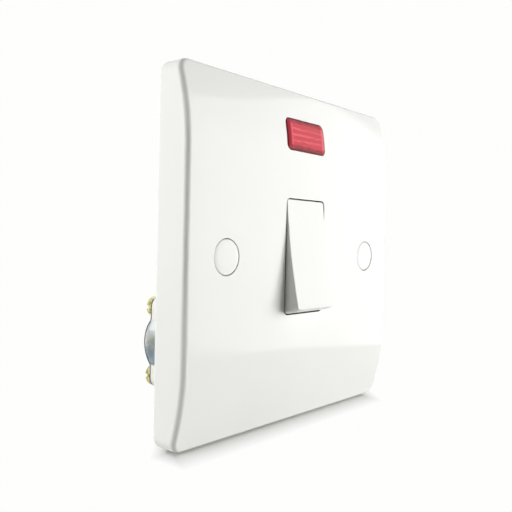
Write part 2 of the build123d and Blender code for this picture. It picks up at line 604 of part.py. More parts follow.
# Rear housing: collar round the rocker, contact chambers and open-ended terminal pockets
with BuildPart() as switch_base:
    well_width = ROCKER_WIDTH + 2 * WELL_GAP
    well_height = OPENING_HEIGHT + 2 * WELL_END_GAP
    with BuildSketch(at_depth(BASE_BACK)):
        RectangleRounded(BASE_WIDTH, BASE_HEIGHT, BASE_CORNER)
        with GridLocations(BASE_WIDTH, 0, 2, 1):
            RectangleRounded(2 * WAIST_DEPTH, WAIST_LENGTH, WAIST_CORNER, mode=Mode.SUBTRACT)
    extrude(amount=BASE_BACK - BASE_FRONT)
    fillet(switch_base.faces().sort_by(Axis.Y)[-1].edges(), BASE_EDGE)
    with BuildSketch(at_depth(BASE_FRONT + OVERRUN)):
        Rectangle(well_width + 2 * COLLAR_WALL, well_height + 2 * COLLAR_WALL)
    extrude(amount=BASE_FRONT + OVERRUN - WALL_BACK)
    with BuildSketch(at_depth(BASE_FRONT + LUG_THICKNESS)):
        with Locations(*LUG_PLACES):
            Circle(LUG_RADIUS)
        with Locations((0, SIDE_LUG_Z)):
            Rectangle(2 * SIDE_LUG_X, 2 * LUG_RADIUS)
        with Locations((0, LOWER_LUG_Z)):
            Rectangle(2 * LUG_RADIUS, BASE_HEIGHT / 2, align=(Align.CENTER, Align.MIN))
    extrude(amount=LUG_THICKNESS)

    with BuildSketch(at_depth(WELL_FLOOR)):
        RectangleRounded(well_width, well_height, WELL_CORNER)
    extrude(amount=WELL_FLOOR + PLATE_DEPTH, mode=Mode.SUBTRACT)
    chamber_width = well_width / 2 - POLE_WALL / 2 - WELL_GAP
    with BuildSketch(at_depth(TONGUE_FRONT + TONGUE_THICKNESS)):
        for sign in SIDES.values():
            with Locations((sign * (POLE_WALL + chamber_width) / 2, 0)):
                Rectangle(chamber_width, well_height)
    extrude(amount=TONGUE_FRONT + TONGUE_THICKNESS, mode=Mode.SUBTRACT)
    with BuildSketch(at_depth(LOAD_TONGUE_FRONT + TONGUE_THICKNESS)):
        for sign in SIDES.values():
            with Locations((sign * (POLE_WALL + chamber_width) / 2, BAR_ARM - TIP_DIAMETER)):
                Rectangle(
                    chamber_width,
                    well_height / 2 - BAR_ARM + TIP_DIAMETER,
                    align=(Align.CENTER, Align.MIN),
                )
    extrude(amount=LOAD_TONGUE_FRONT, mode=Mode.SUBTRACT)
    pocket_length = BLOCK_LENGTH + POCKET_CLEARANCE
    with BuildSketch(at_depth(BLOCK_BACK)):
        for sign in SIDES.values():
            with GridLocations(TERMINAL_PITCH_X, 0, 2, 1):
                with Locations((0, sign * (BASE_HEIGHT / 2 + OVERRUN))):
                    Rectangle(
                        BLOCK_WIDTH + 2 * POCKET_CLEARANCE,
                        2 * (pocket_length + OVERRUN),
                    )
    extrude(amount=BLOCK_BACK - BASE_FRONT + OVERRUN, mode=Mode.SUBTRACT)
    with BuildSketch(at_depth(BASE_BACK)):
        with GridLocations(TERMINAL_PITCH_X, TERMINAL_PITCH_Z, 2, 2):
            Circle(TERMINAL_SCREW_HEAD / 2 + ACCESS_GAP)
    extrude(amount=BASE_FLOOR, mode=Mode.SUBTRACT)
    with BuildSketch(at_depth(BASE_FRONT + LUG_THICKNESS)):
        with Locations(*LUG_PLACES):
            Circle(BASE_SCREW / 2 + SCREW_CLEARANCE)
    extrude(amount=LUG_THICKNESS, mode=Mode.SUBTRACT)
    with BuildSketch(Plane.YZ):
        with Locations((PIVOT_Y, 0)):
            Circle(TRUNNION_RADIUS + BEARING_CLEARANCE)
    extrude(amount=BASE_WIDTH / 2, both=True, mode=Mode.SUBTRACT)
switch_base.part.label = "switch_base"
export_step(switch_base.part, "parts/switch_base.step")

# Screws that hold the housing to the plate
with BuildPart() as base_screws:
    lug_back = BASE_FRONT + LUG_THICKNESS
    with BuildSketch(at_depth(lug_back + BASE_SCREW_HEAD_HEIGHT)):
        with Locations(*LUG_PLACES):
            Circle(BASE_SCREW_HEAD / 2)
    extrude(amount=BASE_SCREW_HEAD_HEIGHT)
    fillet(base_screws.edges().group_by(Axis.Y)[-1], HEAD_ROUND)
    with BuildSketch(at_depth(lug_back + BASE_SCREW_HEAD_HEIGHT)):
        with Locations(*LUG_PLACES):
            Rectangle(BASE_SCREW_HEAD / 2, SLOT_WIDTH)
            Rectangle(SLOT_WIDTH, BASE_SCREW_HEAD / 2)
    extrude(amount=SLOT_DEPTH, mode=Mode.SUBTRACT)
    with BuildSketch(at_depth(lug_back)):
        with Locations(*LUG_PLACES):
            Circle(BASE_SCREW / 2)
    extrude(amount=BASE_SCREW_LENGTH)
base_screws.part.label = "base_screws"
export_step(base_screws.part, "parts/base_screws.step")

# Neon lens: its front follows the plate's crown, with light ribs inside
with BuildPart() as neon_lens:
    lens_back = -LENS_SEAT + LENS_FLANGE_THICKNESS
    lens_roof = -PLATE_DEPTH + LENS_ROOF
    with BuildSketch(at_depth(lens_back)):
        with Locations((0, LENS_Z)):
            RectangleRounded(LENS_WIDTH, LENS_HEIGHT, LENS_CORNER)
    extrude(amount=PLATE_DEPTH)
    extrude(crown_section(-LENS_PROUD), amount=PLATE_SIZE, both=True, mode=Mode.INTERSECT)
    lens_front = neon_lens.faces().sort_by(Axis.Y)[0]
    chamfer(lens_front.edges(), LENS_BEVEL_WIDTH, LENS_BEVEL_DROP, reference=lens_front)
    with BuildSketch(at_depth(lens_back)):
        with Locations((0, LENS_Z)):
            Rectangle(HOLDER_WIDTH, HOLDER_HEIGHT)
    extrude(amount=LENS_FLANGE_THICKNESS)
    with BuildSketch(at_depth(lens_back)):
        with Locations((0, LENS_Z)):
            Rectangle(LENS_WIDTH - 2 * LENS_WALL, LENS_HEIGHT - 2 * LENS_WALL)
    extrude(amount=lens_back - lens_roof, mode=Mode.SUBTRACT)
    with BuildSketch(at_depth(lens_roof + LENS_RIB_DEPTH)):
        with Locations((0, LENS_Z)):
            with GridLocations(0, LENS_RIB_PITCH, 1, LENS_RIBS):
                Rectangle(LENS_WIDTH - 2 * LENS_WALL, LENS_RIB_WIDTH)
    extrude(amount=LENS_RIB_DEPTH + LENS_ROOF / 4)
neon_lens.part.label = "neon_lens"
export_step(neon_lens.part, "parts/neon_lens.step")

# Tray behind the lens that carries the lamp and its resistor
with BuildPart() as lamp_holder:
    with BuildSketch(at_depth(-HOLDER_BACK)):
        with Locations((0, LENS_Z)):
            Rectangle(HOLDER_WIDTH, HOLDER_HEIGHT)
    extrude(amount=lens_back * -1 - HOLDER_BACK)
    with BuildSketch(at_depth(-HOLDER_BACK - HOLDER_WALL)):
        with Locations((0, LENS_Z)):
            Rectangle(HOLDER_WIDTH - 2 * HOLDER_WALL, HOLDER_HEIGHT - 2 * HOLDER_WALL)
    extrude(amount=PLATE_DEPTH, mode=Mode.SUBTRACT)
    with BuildSketch(at_depth(LAMP_Y + LEAD_RADIUS + LEAD_NOTCH_GAP)):
        with Locations((0, LENS_Z - HOLDER_HEIGHT / 2)):
            with GridLocations(2 * LEAD_X, 0, 2, 1):
                Rectangle(2 * (LEAD_RADIUS + LEAD_NOTCH_GAP), 3 * HOLDER_WALL)
    extrude(amount=PLATE_DEPTH, mode=Mode.SUBTRACT)
lamp_holder.part.label = "lamp_holder"
export_step(lamp_holder.part, "parts/lamp_holder.step")

# Neon lamp: glass tube, its two electrodes, and the dropper resistor
lamp_axis = Axis((0, LAMP_Y, LAMP_Z), (1, 0, 0))
lamp_start = -LAMP_LENGTH / 2
lamp_shoulder = LAMP_LENGTH / 2 - LAMP_NECK
with BuildPart() as neon_lamp:
    with BuildSketch(at_depth(LAMP_Y)):
        with BuildLine():
            dome = ThreePointArc(
                (lamp_start, LAMP_Z),
                (lamp_start + LAMP_RADIUS * (1 - HALF_RIGHT), LAMP_Z + LAMP_RADIUS * HALF_RIGHT),
                (lamp_start + LAMP_RADIUS, LAMP_Z + LAMP_RADIUS),
            )
            Polyline(
                dome @ 1,
                (lamp_shoulder, LAMP_Z + LAMP_RADIUS),
                (LAMP_LENGTH / 2 - LAMP_NECK / 2, LAMP_Z + LAMP_PINCH),
                (LAMP_LENGTH / 2, LAMP_Z + LAMP_PINCH),
                (LAMP_LENGTH / 2, LAMP_Z),
                dome @ 0,
            )
        make_face()
    revolve(axis=lamp_axis)
    with BuildSketch(Plane.YZ.offset(lamp_start + LAMP_RADIUS)):
        with Locations((LAMP_Y, LAMP_Z)):
            Circle(LAMP_RADIUS - LAMP_GLASS)
    extrude(amount=lamp_shoulder - lamp_start - LAMP_RADIUS, mode=Mode.SUBTRACT)
    with BuildSketch(Plane.YZ.offset(lamp_shoulder - OVERRUN)):
        with Locations((LAMP_Y, LAMP_Z)):
            with GridLocations(0, ELECTRODE_PITCH, 1, 2):
                Circle(ELECTRODE_RADIUS)
    extrude(amount=LAMP_NECK + 2 * OVERRUN, mode=Mode.SUBTRACT)
neon_lamp.part.label = "neon_lamp"
export_step(neon_lamp.part, "parts/neon_lamp.step")

with BuildPart() as lamp_electrodes:
    with BuildSketch(Plane.YZ.offset(ELECTRODE_START)):
        with Locations((LAMP_Y, LAMP_Z)):
            with GridLocations(0, ELECTRODE_PITCH, 1, 2):
                Circle(ELECTRODE_RADIUS)
    extrude(amount=LAMP_LENGTH / 2 - ELECTRODE_START)
lamp_electrodes.part.label = "lamp_electrodes"
export_step(lamp_electrodes.part, "parts/lamp_electrodes.step")

with BuildPart() as dropper_resistor:
    with BuildSketch(Plane.YZ.offset(-RESISTOR_LENGTH / 2)):
        with Locations((RESISTOR_Y, RESISTOR_Z)):
            Circle(RESISTOR_RADIUS)
    extrude(amount=RESISTOR_LENGTH)
    fillet(dropper_resistor.edges(), RESISTOR_RADIUS / 3)
    with BuildLine():
        FilletPolyline(
            (RESISTOR_LENGTH / 2 - RESISTOR_RADIUS, RESISTOR_Y, RESISTOR_Z),
            (RESISTOR_WIRE_X, RESISTOR_Y, RESISTOR_Z),
            (RESISTOR_WIRE_X, LAMP_Y, LOWER_ELECTRODE_Z),
            (LAMP_LENGTH / 2, LAMP_Y, LOWER_ELECTRODE_Z),
            radius=LEAD_BEND / 2,
        )
    with BuildSketch(Plane.YZ.offset(RESISTOR_LENGTH / 2 - RESISTOR_RADIUS)):
        with Locations((RESISTOR_Y, RESISTOR_Z)):
            Circle(ELECTRODE_RADIUS)
    sweep()
dropper_resistor.part.label = "dropper_resistor"
export_step(dropper_resistor.part, "parts/dropper_resistor.step")

# Insulated leads from the lamp and the resistor to the load terminals
LEAD_ROUTES = {
    "left": [
        (-RESISTOR_LENGTH / 2, RESISTOR_Y, RESISTOR_Z),
        (-RESISTOR_LENGTH / 2 - LEAD_STRAIGHT, RESISTOR_Y, RESISTOR_Z),
        (-LEAD_X, LAMP_Y, RESISTOR_Z),
        (-LEAD_X, LAMP_Y, LEAD_END_Z),
        (-LEAD_X, TONGUE_FRONT, LEAD_END_Z),
    ],
    "right": [
        (LAMP_LENGTH / 2, LAMP_Y, UPPER_ELECTRODE_Z),
        (LEAD_X, LAMP_Y, UPPER_ELECTRODE_Z),
        (LEAD_X, LAMP_Y, LEAD_END_Z),
        (LEAD_X, TONGUE_FRONT, LEAD_END_Z),
    ],
}
for side, route in LEAD_ROUTES.items():
    with BuildPart() as neon_lead:
        with BuildLine():
            path = FilletPolyline(*route, radius=LEAD_BEND)
        with BuildSketch(Plane(path @ 0, z_dir=path % 0)):
            Circle(LEAD_RADIUS)
        sweep()
    neon_lead.part.label = f"neon_lead_{side}"
    export_step(neon_lead.part, f"parts/neon_lead_{side}.step")

# Push-in caps over the fixing screws
for side, sign in SIDES.items():
    cap_seat = at_depth(-PLATE_DEPTH + CAP_THICKNESS)
    with BuildPart() as screw_cap:
        with BuildSketch(cap_seat):
            with Locations((sign * FIXING_X, 0)):
                Circle(CAP_DIAMETER / 2)
        extrude(amount=CAP_THICKNESS)
        chamfer(screw_cap.edges().group_by(Axis.Y)[0], CAP_CHAMFER)
        with BuildSketch(cap_seat):
            with Locations((sign * FIXING_X, 0)):
                Circle(HEAD_RECESS / 2 - CAP_SKIRT_GAP)
                Circle(HEAD_RECESS / 2 - CAP_SKIRT_GAP - CAP_SKIRT_WALL, mode=Mode.SUBTRACT)
        extrude(amount=-CAP_SKIRT_DEPTH)
    screw_cap.part.label = f"screw_cap_{side}"
    export_step(screw_cap.part, f"parts/screw_cap_{side}.step")

# Cord clamp: moulded saddle, bowed strap and two pan-head screws
with BuildPart() as clamp_saddle:
    with BuildSketch(at_depth(CLAMP_TOP)):
        with Locations((CLAMP_X, CLAMP_Z)):
            SlotOverall(CLAMP_PITCH + CLAMP_POST, CLAMP_POST, rotation=90)
    extrude(amount=CLAMP_TOP - CLAMP_SEAT)
    channel_width = CLAMP_PITCH - CLAMP_POST
    with BuildSketch(Plane.YZ.offset(CLAMP_X)):
        with Locations((CLAMP_TOP - CLAMP_CHANNEL_DEPTH + channel_width / 2, CLAMP_Z)):
            Circle(channel_width / 2)
            Rectangle(CLAMP_TOP, channel_width, align=(Align.MIN, Align.CENTER))
    extrude(amount=CLAMP_POST, both=True, mode=Mode.SUBTRACT)
    with BuildSketch(at_depth(CLAMP_TOP)):
        with Locations(*CLAMP_PLACES):
            Circle(CLAMP_SCREW / 2 + SCREW_CLEARANCE)
    extrude(amount=CLAMP_TOP - CLAMP_SEAT, mode=Mode.SUBTRACT)
clamp_saddle.part.label = "clamp_saddle"
export_step(clamp_saddle.part, "parts/clamp_saddle.step")

with BuildPart() as clamp_strap:
    strap_end = (CLAMP_PITCH + STRAP_WIDTH) / 2
    with BuildSketch(Plane.YZ.offset(CLAMP_X - STRAP_WIDTH / 2)):
        with BuildLine():
            arch = ThreePointArc(
                (STRAP_BACK, CLAMP_Z - STRAP_CHORD / 2),
                (STRAP_BACK + STRAP_RISE, CLAMP_Z),
                (STRAP_BACK, CLAMP_Z + STRAP_CHORD / 2),
            )
            inner = ThreePointArc(
                (CLAMP_TOP, CLAMP_Z - STRAP_CHORD / 2 + STRAP_THICKNESS),
                (CLAMP_TOP + STRAP_RISE, CLAMP_Z),
                (CLAMP_TOP, CLAMP_Z + STRAP_CHORD / 2 - STRAP_THICKNESS),
            )
            Polyline(
                arch @ 0,
                (STRAP_BACK, CLAMP_Z - strap_end),
                (CLAMP_TOP, CLAMP_Z - strap_end),
                inner @ 0,
            )
            Polyline(
                arch @ 1,
                (STRAP_BACK, CLAMP_Z + strap_end),
                (CLAMP_TOP, CLAMP_Z + strap_end),
                inner @ 1,
            )
        make_face()
    extrude(amount=STRAP_WIDTH)
    bends = clamp_strap.edges().filter_by(Axis.X).filter_by(
        lambda edge: abs(edge.center().Z - CLAMP_Z) < strap_end - STRAP_THICKNESS
    )
    fillet(bends, STRAP_BEND)
    fillet(clamp_strap.edges().filter_by(Axis.Y), STRAP_END_ROUND)
    with BuildSketch(at_depth(STRAP_BACK)):
        with Locations(*CLAMP_PLACES):
            Circle(CLAMP_SCREW / 2 + SCREW_CLEARANCE)
    extrude(amount=STRAP_THICKNESS, mode=Mode.SUBTRACT)
clamp_strap.part.label = "clamp_strap"
export_step(clamp_strap.part, "parts/clamp_strap.step")

with BuildPart() as clamp_screws:
    for x, z in CLAMP_PLACES:
        with BuildSketch(Plane.YZ.offset(x)):
            with BuildLine():
                side = Line(
                    (STRAP_BACK, z + CLAMP_HEAD / 2), (STRAP_BACK + CLAMP_HEAD_SIDE, z + CLAMP_HEAD / 2)
                )
                shoulder = TangentArc(
                    side @ 1, (STRAP_BACK + CLAMP_HEAD_HEIGHT, z + CLAMP_HEAD_TOP / 2), tangent=side % 1
                )
                Polyline(
                    shoulder @ 1,
                    (STRAP_BACK + CLAMP_HEAD_HEIGHT, z),
                    (-CLAMP_SCREW_END, z),
                    (-CLAMP_SCREW_END, z + CLAMP_SCREW / 2),
                    (STRAP_BACK, z + CLAMP_SCREW / 2),
                    side @ 0,
                )
            make_face()
        revolve(axis=Axis((x, 0, z), (0, 1, 0)))
    with BuildSketch(at_depth(STRAP_BACK + CLAMP_HEAD_HEIGHT)):
        with Locations(*CLAMP_PLACES):
            Rectangle(CLAMP_HEAD + OVERRUN, SLOT_WIDTH)
    extrude(amount=CLAMP_SLOT_DEPTH, mode=Mode.SUBTRACT)
clamp_screws.part.label = "clamp_screws"
export_step(clamp_screws.part, "parts/clamp_screws.step")

# Earth terminal on its pillar
with BuildPart() as earth_terminal:
    with BuildSketch(at_depth(EARTH_BACK)):
        with Locations((EARTH_X, EARTH_Z)):
            Rectangle(EARTH_WIDTH, BLOCK_LENGTH)
    extrude(amount=BLOCK_DEPTH)
    chamfer(earth_terminal.edges().filter_by(Axis.Z), BLOCK_CHAMFER)
    with BuildSketch(at_depth(EARTH_SEAT)):
        with Locations((EARTH_X, EARTH_Z)):
            Circle(EARTH_SPIGOT / 2)
    extrude(amount=EARTH_SPIGOT_LENGTH)
    with BuildSketch(Plane.XY.offset(EARTH_Z - BLOCK_LENGTH / 2)):
        with Locations((EARTH_X, EARTH_SEAT + WIRE_BORE_SET)):
            Circle(WIRE_BORE / 2)
    extrude(amount=WIRE_BORE_DEPTH, mode=Mode.SUBTRACT)
    with BuildSketch(at_depth(EARTH_BACK)):
        with Locations((EARTH_X, EARTH_Z)):
            Circle(TERMINAL_SCREW / 2 + SCREW_CLEARANCE)
    extrude(amount=BLOCK_DEPTH - WIRE_BORE_SET, mode=Mode.SUBTRACT)
earth_terminal.part.label = "earth_terminal"
export_step(earth_terminal.part, "parts/earth_terminal.step")

with BuildPart() as earth_screw:
    earth_head_back = EARTH_BACK + TERMINAL_SCREW_LIFT + TERMINAL_SCREW_HEAD_HEIGHT
    with BuildSketch(at_depth(earth_head_back)):
        with Locations((EARTH_X, EARTH_Z)):
            Circle(TERMINAL_SCREW_HEAD / 2)
    extrude(amount=TERMINAL_SCREW_HEAD_HEIGHT)
    fillet(earth_screw.edges().group_by(Axis.Y)[-1], HEAD_ROUND)
    with BuildSketch(at_depth(earth_head_back)):
        with Locations((EARTH_X, EARTH_Z)):
            Rectangle(SLOT_WIDTH, TERMINAL_SCREW_HEAD + OVERRUN)
    extrude(amount=SLOT_DEPTH, mode=Mode.SUBTRACT)
    with BuildSketch(at_depth(EARTH_BACK + TERMINAL_SCREW_LIFT)):
        with Locations((EARTH_X, EARTH_Z)):
            Circle(TERMINAL_SCREW / 2)
    extrude(amount=BLOCK_DEPTH + TERMINAL_SCREW_LIFT - WIRE_BORE_SET - WIRE_BORE / 2)
earth_screw.part.label = "earth_screw"
export_step(earth_screw.part, "parts/earth_screw.step")
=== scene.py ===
"""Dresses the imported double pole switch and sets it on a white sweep.

Run as a script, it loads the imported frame, makes the pieces and finishes by operators,
and leaves a camera and lamps that show the switch from its front left.
"""

import math

import bmesh
import bpy
from mathutils import Matrix, Vector


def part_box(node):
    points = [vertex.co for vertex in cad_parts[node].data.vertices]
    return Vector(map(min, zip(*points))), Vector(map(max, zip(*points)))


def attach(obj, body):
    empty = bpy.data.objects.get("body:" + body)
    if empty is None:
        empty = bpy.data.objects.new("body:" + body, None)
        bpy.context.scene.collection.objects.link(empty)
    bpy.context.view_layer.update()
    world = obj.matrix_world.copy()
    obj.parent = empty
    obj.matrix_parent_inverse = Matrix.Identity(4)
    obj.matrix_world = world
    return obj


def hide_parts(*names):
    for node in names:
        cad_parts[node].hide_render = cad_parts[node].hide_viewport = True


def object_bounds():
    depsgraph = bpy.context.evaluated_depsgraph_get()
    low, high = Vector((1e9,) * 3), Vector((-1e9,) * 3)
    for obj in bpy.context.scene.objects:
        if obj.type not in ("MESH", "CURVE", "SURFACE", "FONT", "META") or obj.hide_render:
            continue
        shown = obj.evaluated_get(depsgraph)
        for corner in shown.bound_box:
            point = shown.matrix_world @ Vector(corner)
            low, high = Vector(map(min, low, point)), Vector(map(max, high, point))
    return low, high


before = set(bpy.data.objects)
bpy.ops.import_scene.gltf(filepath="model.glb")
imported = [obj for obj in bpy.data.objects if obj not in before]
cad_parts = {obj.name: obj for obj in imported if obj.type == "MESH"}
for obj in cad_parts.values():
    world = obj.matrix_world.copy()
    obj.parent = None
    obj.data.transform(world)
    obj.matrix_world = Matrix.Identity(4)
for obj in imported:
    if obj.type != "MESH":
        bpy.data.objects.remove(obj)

bl_info = {
    "name": "Double pole switch",
    "version": (1, 0, 0),
    "blender": (4, 5, 0),
    "location": "View3D > Sidebar > Switch",
    "description": "Finishes for a moulded double pole switch with a neon indicator and a cord clamp",
    "category": "Object",
}

MM = 0.001
CAD_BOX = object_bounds()

# How far past the rocker's box the painted shade of its gap reaches, and how shut in a place has to be for
# it to darken.
GAP_SHADE_BAND = (0.8 * MM, 1.2 * MM)
GAP_SHADE_SHUT_IN = (0.2, 0.55)

# How far in from the edge of the lens each of its marks begins and ends: its wall, the painted shade of its
# rim, its ends, its bevel, which bears painted shade, and the painted highlight near its ends.
LENS_WALL = (0.02 * MM, 0.05 * MM)
LENS_RIM_SHADE = (0.2 * MM, 0.5 * MM)
LENS_ENDS = (0.9 * MM, 1.3 * MM)
LENS_BEVEL = (0.9 * MM, 1.6 * MM)
LENS_PAINTED_GLOW = (2.1 * MM, 1.6 * MM)
# How far the painted light of the ribs wanders up and down.
RIB_WANDER = 0.8 * MM

# Heights over the strap's middle between which a painted reflection deepens the tint of its plating, and by
# how much.
PAINTED_REFLECTION_HEIGHTS = (1.5 * MM, -3 * MM)
PAINTED_REFLECTION_TINT = 0.4

# Length of the smoky end of the lamp.
GETTER_REACH = 3.5 * MM

# Half the length of the resistor's body, without its leads.
RESISTOR_HALF = 3.2 * MM
# Where each band starts, as a share of that body, with its colour, and how wide a band is.
RESISTOR_BANDS = ((0.16, "#6b3a1e"), (0.34, "#201d1c"), (0.52, "#d9b52f"), (0.76, "#b08b3c"))
BAND_WIDTH = 0.09

# Share of a cap's radius at which its dome has a point. The dome falls with the share's square.
DOME_SHARE = 0.6
# Steps of a cap's full turn and of the strap's arch.
CAP_STEPS = 96
ARCH_STEPS = 28
# Points closer than this are merged.
SAME_PLACE = 0.001 * MM
# How near the cap's radius, and how far out from its seat, the edges of its rim are looked for.
ON_RIM = 0.01 * MM
OFF_SEAT = 0.1 * MM
# Edges of the strap that turn by more than this are broken.
SHARP_EDGE = math.radians(60)
# Edges of a new piece that turn by less than this are shaded smooth.
SMOOTH_EDGE = math.radians(40)

# Where the shade on the paper starts to fade and where it ends: behind the wall plane, and out
# from the plate's left and right ends, measured straight and along a slant.
SHADE_BEHIND = (10 * MM, 60 * MM)
SHADE_LEFT = (1 * MM, -4 * MM)
SHADE_LEFT_SLANT = (5 * MM, 0)
SHADE_RIGHT = (-6 * MM, 8 * MM)
SHADE_RIGHT_SLANT = (0, 6 * MM)
# Side of the paper in metres, and the white of the background.
SWEEP_SIZE = 4.0
WHITE = "#fefefc"

# Each lamp's place, aim, width and height in metres, and the kind of ray that it is hidden from.
LAMPS = {
    "key": ((0.46, -0.5, 0.045), (0, -0.0095, 0), 0.58, 0.4, "visible_glossy"),
    "card": ((0.078, -0.071, 0.031), (0, -0.007, 0.031), 0.088, 0.148, "visible_diffuse"),
    "backdrop": ((-0.42, 0.26, 0.12), (-0.043, 0, 0), 0.4, 0.4, "visible_glossy"),
    "rear": ((0.05, 0.65, 0.3), (0, 0, -0.01), 0.8, 0.5, "visible_glossy"),
}
# Where the dark board stands, in metres.
FLAG_PLACE = Vector((-0.3, -0.24, -0.01))

# The camera's place and turns, its lens and sensor in millimetres, and its near limit in metres.
CAMERA_PLACE = Vector((-138.96, -108.73, 4.13)) * MM
CAMERA_YAW = math.radians(50.186)
CAMERA_PITCH = math.radians(-1.439)
CAMERA_ROLL = math.radians(1.35)
CAMERA_LENS = 45.96
CAMERA_SENSOR = 36
CAMERA_NEAR = 0.01


def linear(hex_colour):
    """Linear RGBA of an sRGB colour written as #rrggbb."""
    channels = [int(hex_colour[i : i + 2], 16) / 255 for i in (1, 3, 5)]
    curve = [c / 12.92 if c <= 0.04045 else ((c + 0.055) / 1.055) ** 2.4 for c in channels]
    return (*curve, 1.0)


def per_mm(size):
    """Texture scale on Object coordinates for marks of that size in millimetres."""
    return 1 / (size * MM)


def both_sides(name):
    """Names of the left and right one of a pair of nodes."""
    return f"{name}_left", f"{name}_right"


def add_node(tree, kind, settings=None, inputs=None):
    """Adds a node, sets its properties, and sets or links its inputs."""
    node = tree.nodes.new(kind)
    for name, value in (settings or {}).items():
        setattr(node, name, value)
    for name, value in (inputs or {}).items():
        if isinstance(value, bpy.types.NodeSocket):
            tree.links.new(value, node.inputs[name])
        else:
            node.inputs[name].default_value = value
    return node


def start_material(name):
    """A new node material and its Object coordinates."""
    material = bpy.data.materials.new(name)
    material.use_nodes = True
    tree = material.node_tree
    tree.nodes.clear()
    coordinates = add_node(tree, "ShaderNodeTexCoord")
    return material, tree, coordinates.outputs["Object"]


def end_material(tree, shader):
    """Links the shader to the material's surface."""
    add_node(tree, "ShaderNodeOutputMaterial", inputs={"Surface": shader.outputs[0]})


def urea_moulding(colours, sizes):
    # Moulded urea: hard, bright white with a clear gloss that ripples very slightly, a shade
    # warmer where the flow was slow, edges that the mould leaves softly rounded, and painted shade,
    # a grey darkening, down the narrow gap round the rocker.
    material, tree, place = start_material("white urea moulding")
    flow = add_node(tree, "ShaderNodeTexNoise", inputs={"Vector": place, "Scale": per_mm(24), "Detail": 2})
    tone = add_node(
        tree,
        "ShaderNodeMix",
        {"data_type": "RGBA"},
        {"Factor": flow.outputs["Fac"], "A": colours.moulding, "B": colours.moulding_shade},
    )
    # Painted shade: a grey darkening in the narrow gap round the rocker, where ambient occlusion finds the
    # place shut in.
    low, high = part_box("rocker")
    middle = add_node(
        tree, "ShaderNodeVectorMath", {"operation": "SUBTRACT"}, {0: place, 1: (low + high) / 2}
    )
    outward = add_node(tree, "ShaderNodeVectorMath", {"operation": "ABSOLUTE"}, {0: middle.outputs[0]})
    past = add_node(
        tree, "ShaderNodeVectorMath", {"operation": "SUBTRACT"}, {0: outward.outputs[0], 1: (high - low) / 2}
    )
    furthest = add_node(tree, "ShaderNodeSeparateXYZ", inputs={"Vector": past.outputs[0]})
    beyond = add_node(
        tree,
        "ShaderNodeMath",
        {"operation": "MAXIMUM"},
        {0: furthest.outputs["X"], 1: furthest.outputs["Z"]},
    )
    by_rocker = add_node(
        tree,
        "ShaderNodeMapRange",
        inputs={
            "Value": beyond.outputs[0],
            "From Min": GAP_SHADE_BAND[0],
            "From Max": GAP_SHADE_BAND[1],
            "To Min": 1,
            "To Max": 0,
        },
    )
    shut_in = add_node(tree, "ShaderNodeAmbientOcclusion", {"samples": 8}, {"Distance": sizes.gap_shade_reach})
    crevice = add_node(
        tree,
        "ShaderNodeMapRange",
        inputs={
            "Value": shut_in.outputs["AO"],
            "From Min": GAP_SHADE_SHUT_IN[0],
            "From Max": GAP_SHADE_SHUT_IN[1],
            "To Min": 1,
            "To Max": 0,
        },
    )
    gap_shade_share = add_node(
        tree, "ShaderNodeMath", {"operation": "MULTIPLY"}, {0: by_rocker.outputs[0], 1: crevice.outputs[0]}
    )
    gap_shaded = add_node(
        tree,
        "ShaderNodeMix",
        {"data_type": "RGBA"},
        {"Factor": gap_shade_share.outputs[0], "A": tone.outputs["Result"], "B": colours.painted_gap_shade},
    )
    gloss = add_node(
        tree, "ShaderNodeMapRange", inputs={"Value": flow.outputs["Fac"], "To Min": 0.09, "To Max": 0.14}
    )
    peel = add_node(tree, "ShaderNodeTexNoise", inputs={"Vector": place, "Scale": per_mm(1.6), "Detail": 1})
    edges = add_node(tree, "ShaderNodeBevel", {"samples": 6}, {"Radius": sizes.moulded_edge})
    bump = add_node(
        tree,
        "ShaderNodeBump",
        inputs={
            "Height": peel.outputs["Fac"],
            "Strength": 0.05,
            "Distance": 0.05 * MM,
            "Normal": edges.outputs["Normal"],
        },
    )
    shader = add_node(
        tree,
        "ShaderNodeBsdfPrincipled",
        inputs={
            "Base Color": gap_shaded.outputs["Result"],
            "Roughness": gloss.outputs[0],
            "IOR": 1.55,
            "Normal": bump.outputs["Normal"],
        },
    )
    end_material(tree, shader)
    return material


def filled_nylon(colours):
    # Glass filled nylon: a creamy white with a dry satin skin, faintly streaked by its fibres.
    material, tree, place = start_material("glass filled nylon")
    streaks = add_node(tree, "ShaderNodeMapping", inputs={"Vector": place, "Scale": (1, 1, 0.3)})
    fibres = add_node(
        tree,
        "ShaderNodeTexNoise",
        inputs={"Vector": streaks.outputs[0], "Scale": per_mm(1.2), "Detail": 5, "Roughness": 0.6},
    )
    tone = add_node(
        tree,
        "ShaderNodeMix",
        {"data_type": "RGBA"},
        {"Factor": fibres.outputs["Fac"], "A": colours.nylon, "B": colours.nylon_shade},
    )
    grain = add_node(
        tree, "ShaderNodeTexNoise", inputs={"Vector": place, "Scale": per_mm(0.35), "Detail": 2}
    )
    gloss = add_node(
        tree, "ShaderNodeMapRange", inputs={"Value": fibres.outputs["Fac"], "To Min": 0.38, "To Max": 0.58}
    )
    bump = add_node(
        tree,
        "ShaderNodeBump",
        inputs={"Height": grain.outputs["Fac"], "Strength": 0.25, "Distance": 0.03 * MM},
    )
    shader = add_node(
        tree,
        "ShaderNodeBsdfPrincipled",
        inputs={
            "Base Color": tone.outputs["Result"],
            "Roughness": gloss.outputs[0],
            "IOR": 1.53,
            "Normal": bump.outputs["Normal"],
            "Subsurface Weight": 0.08,
            "Subsurface Radius": (1.0, 0.9, 0.7),
            "Subsurface Scale": 0.6 * MM,
        },
    )
    end_material(tree, shader)
    return material


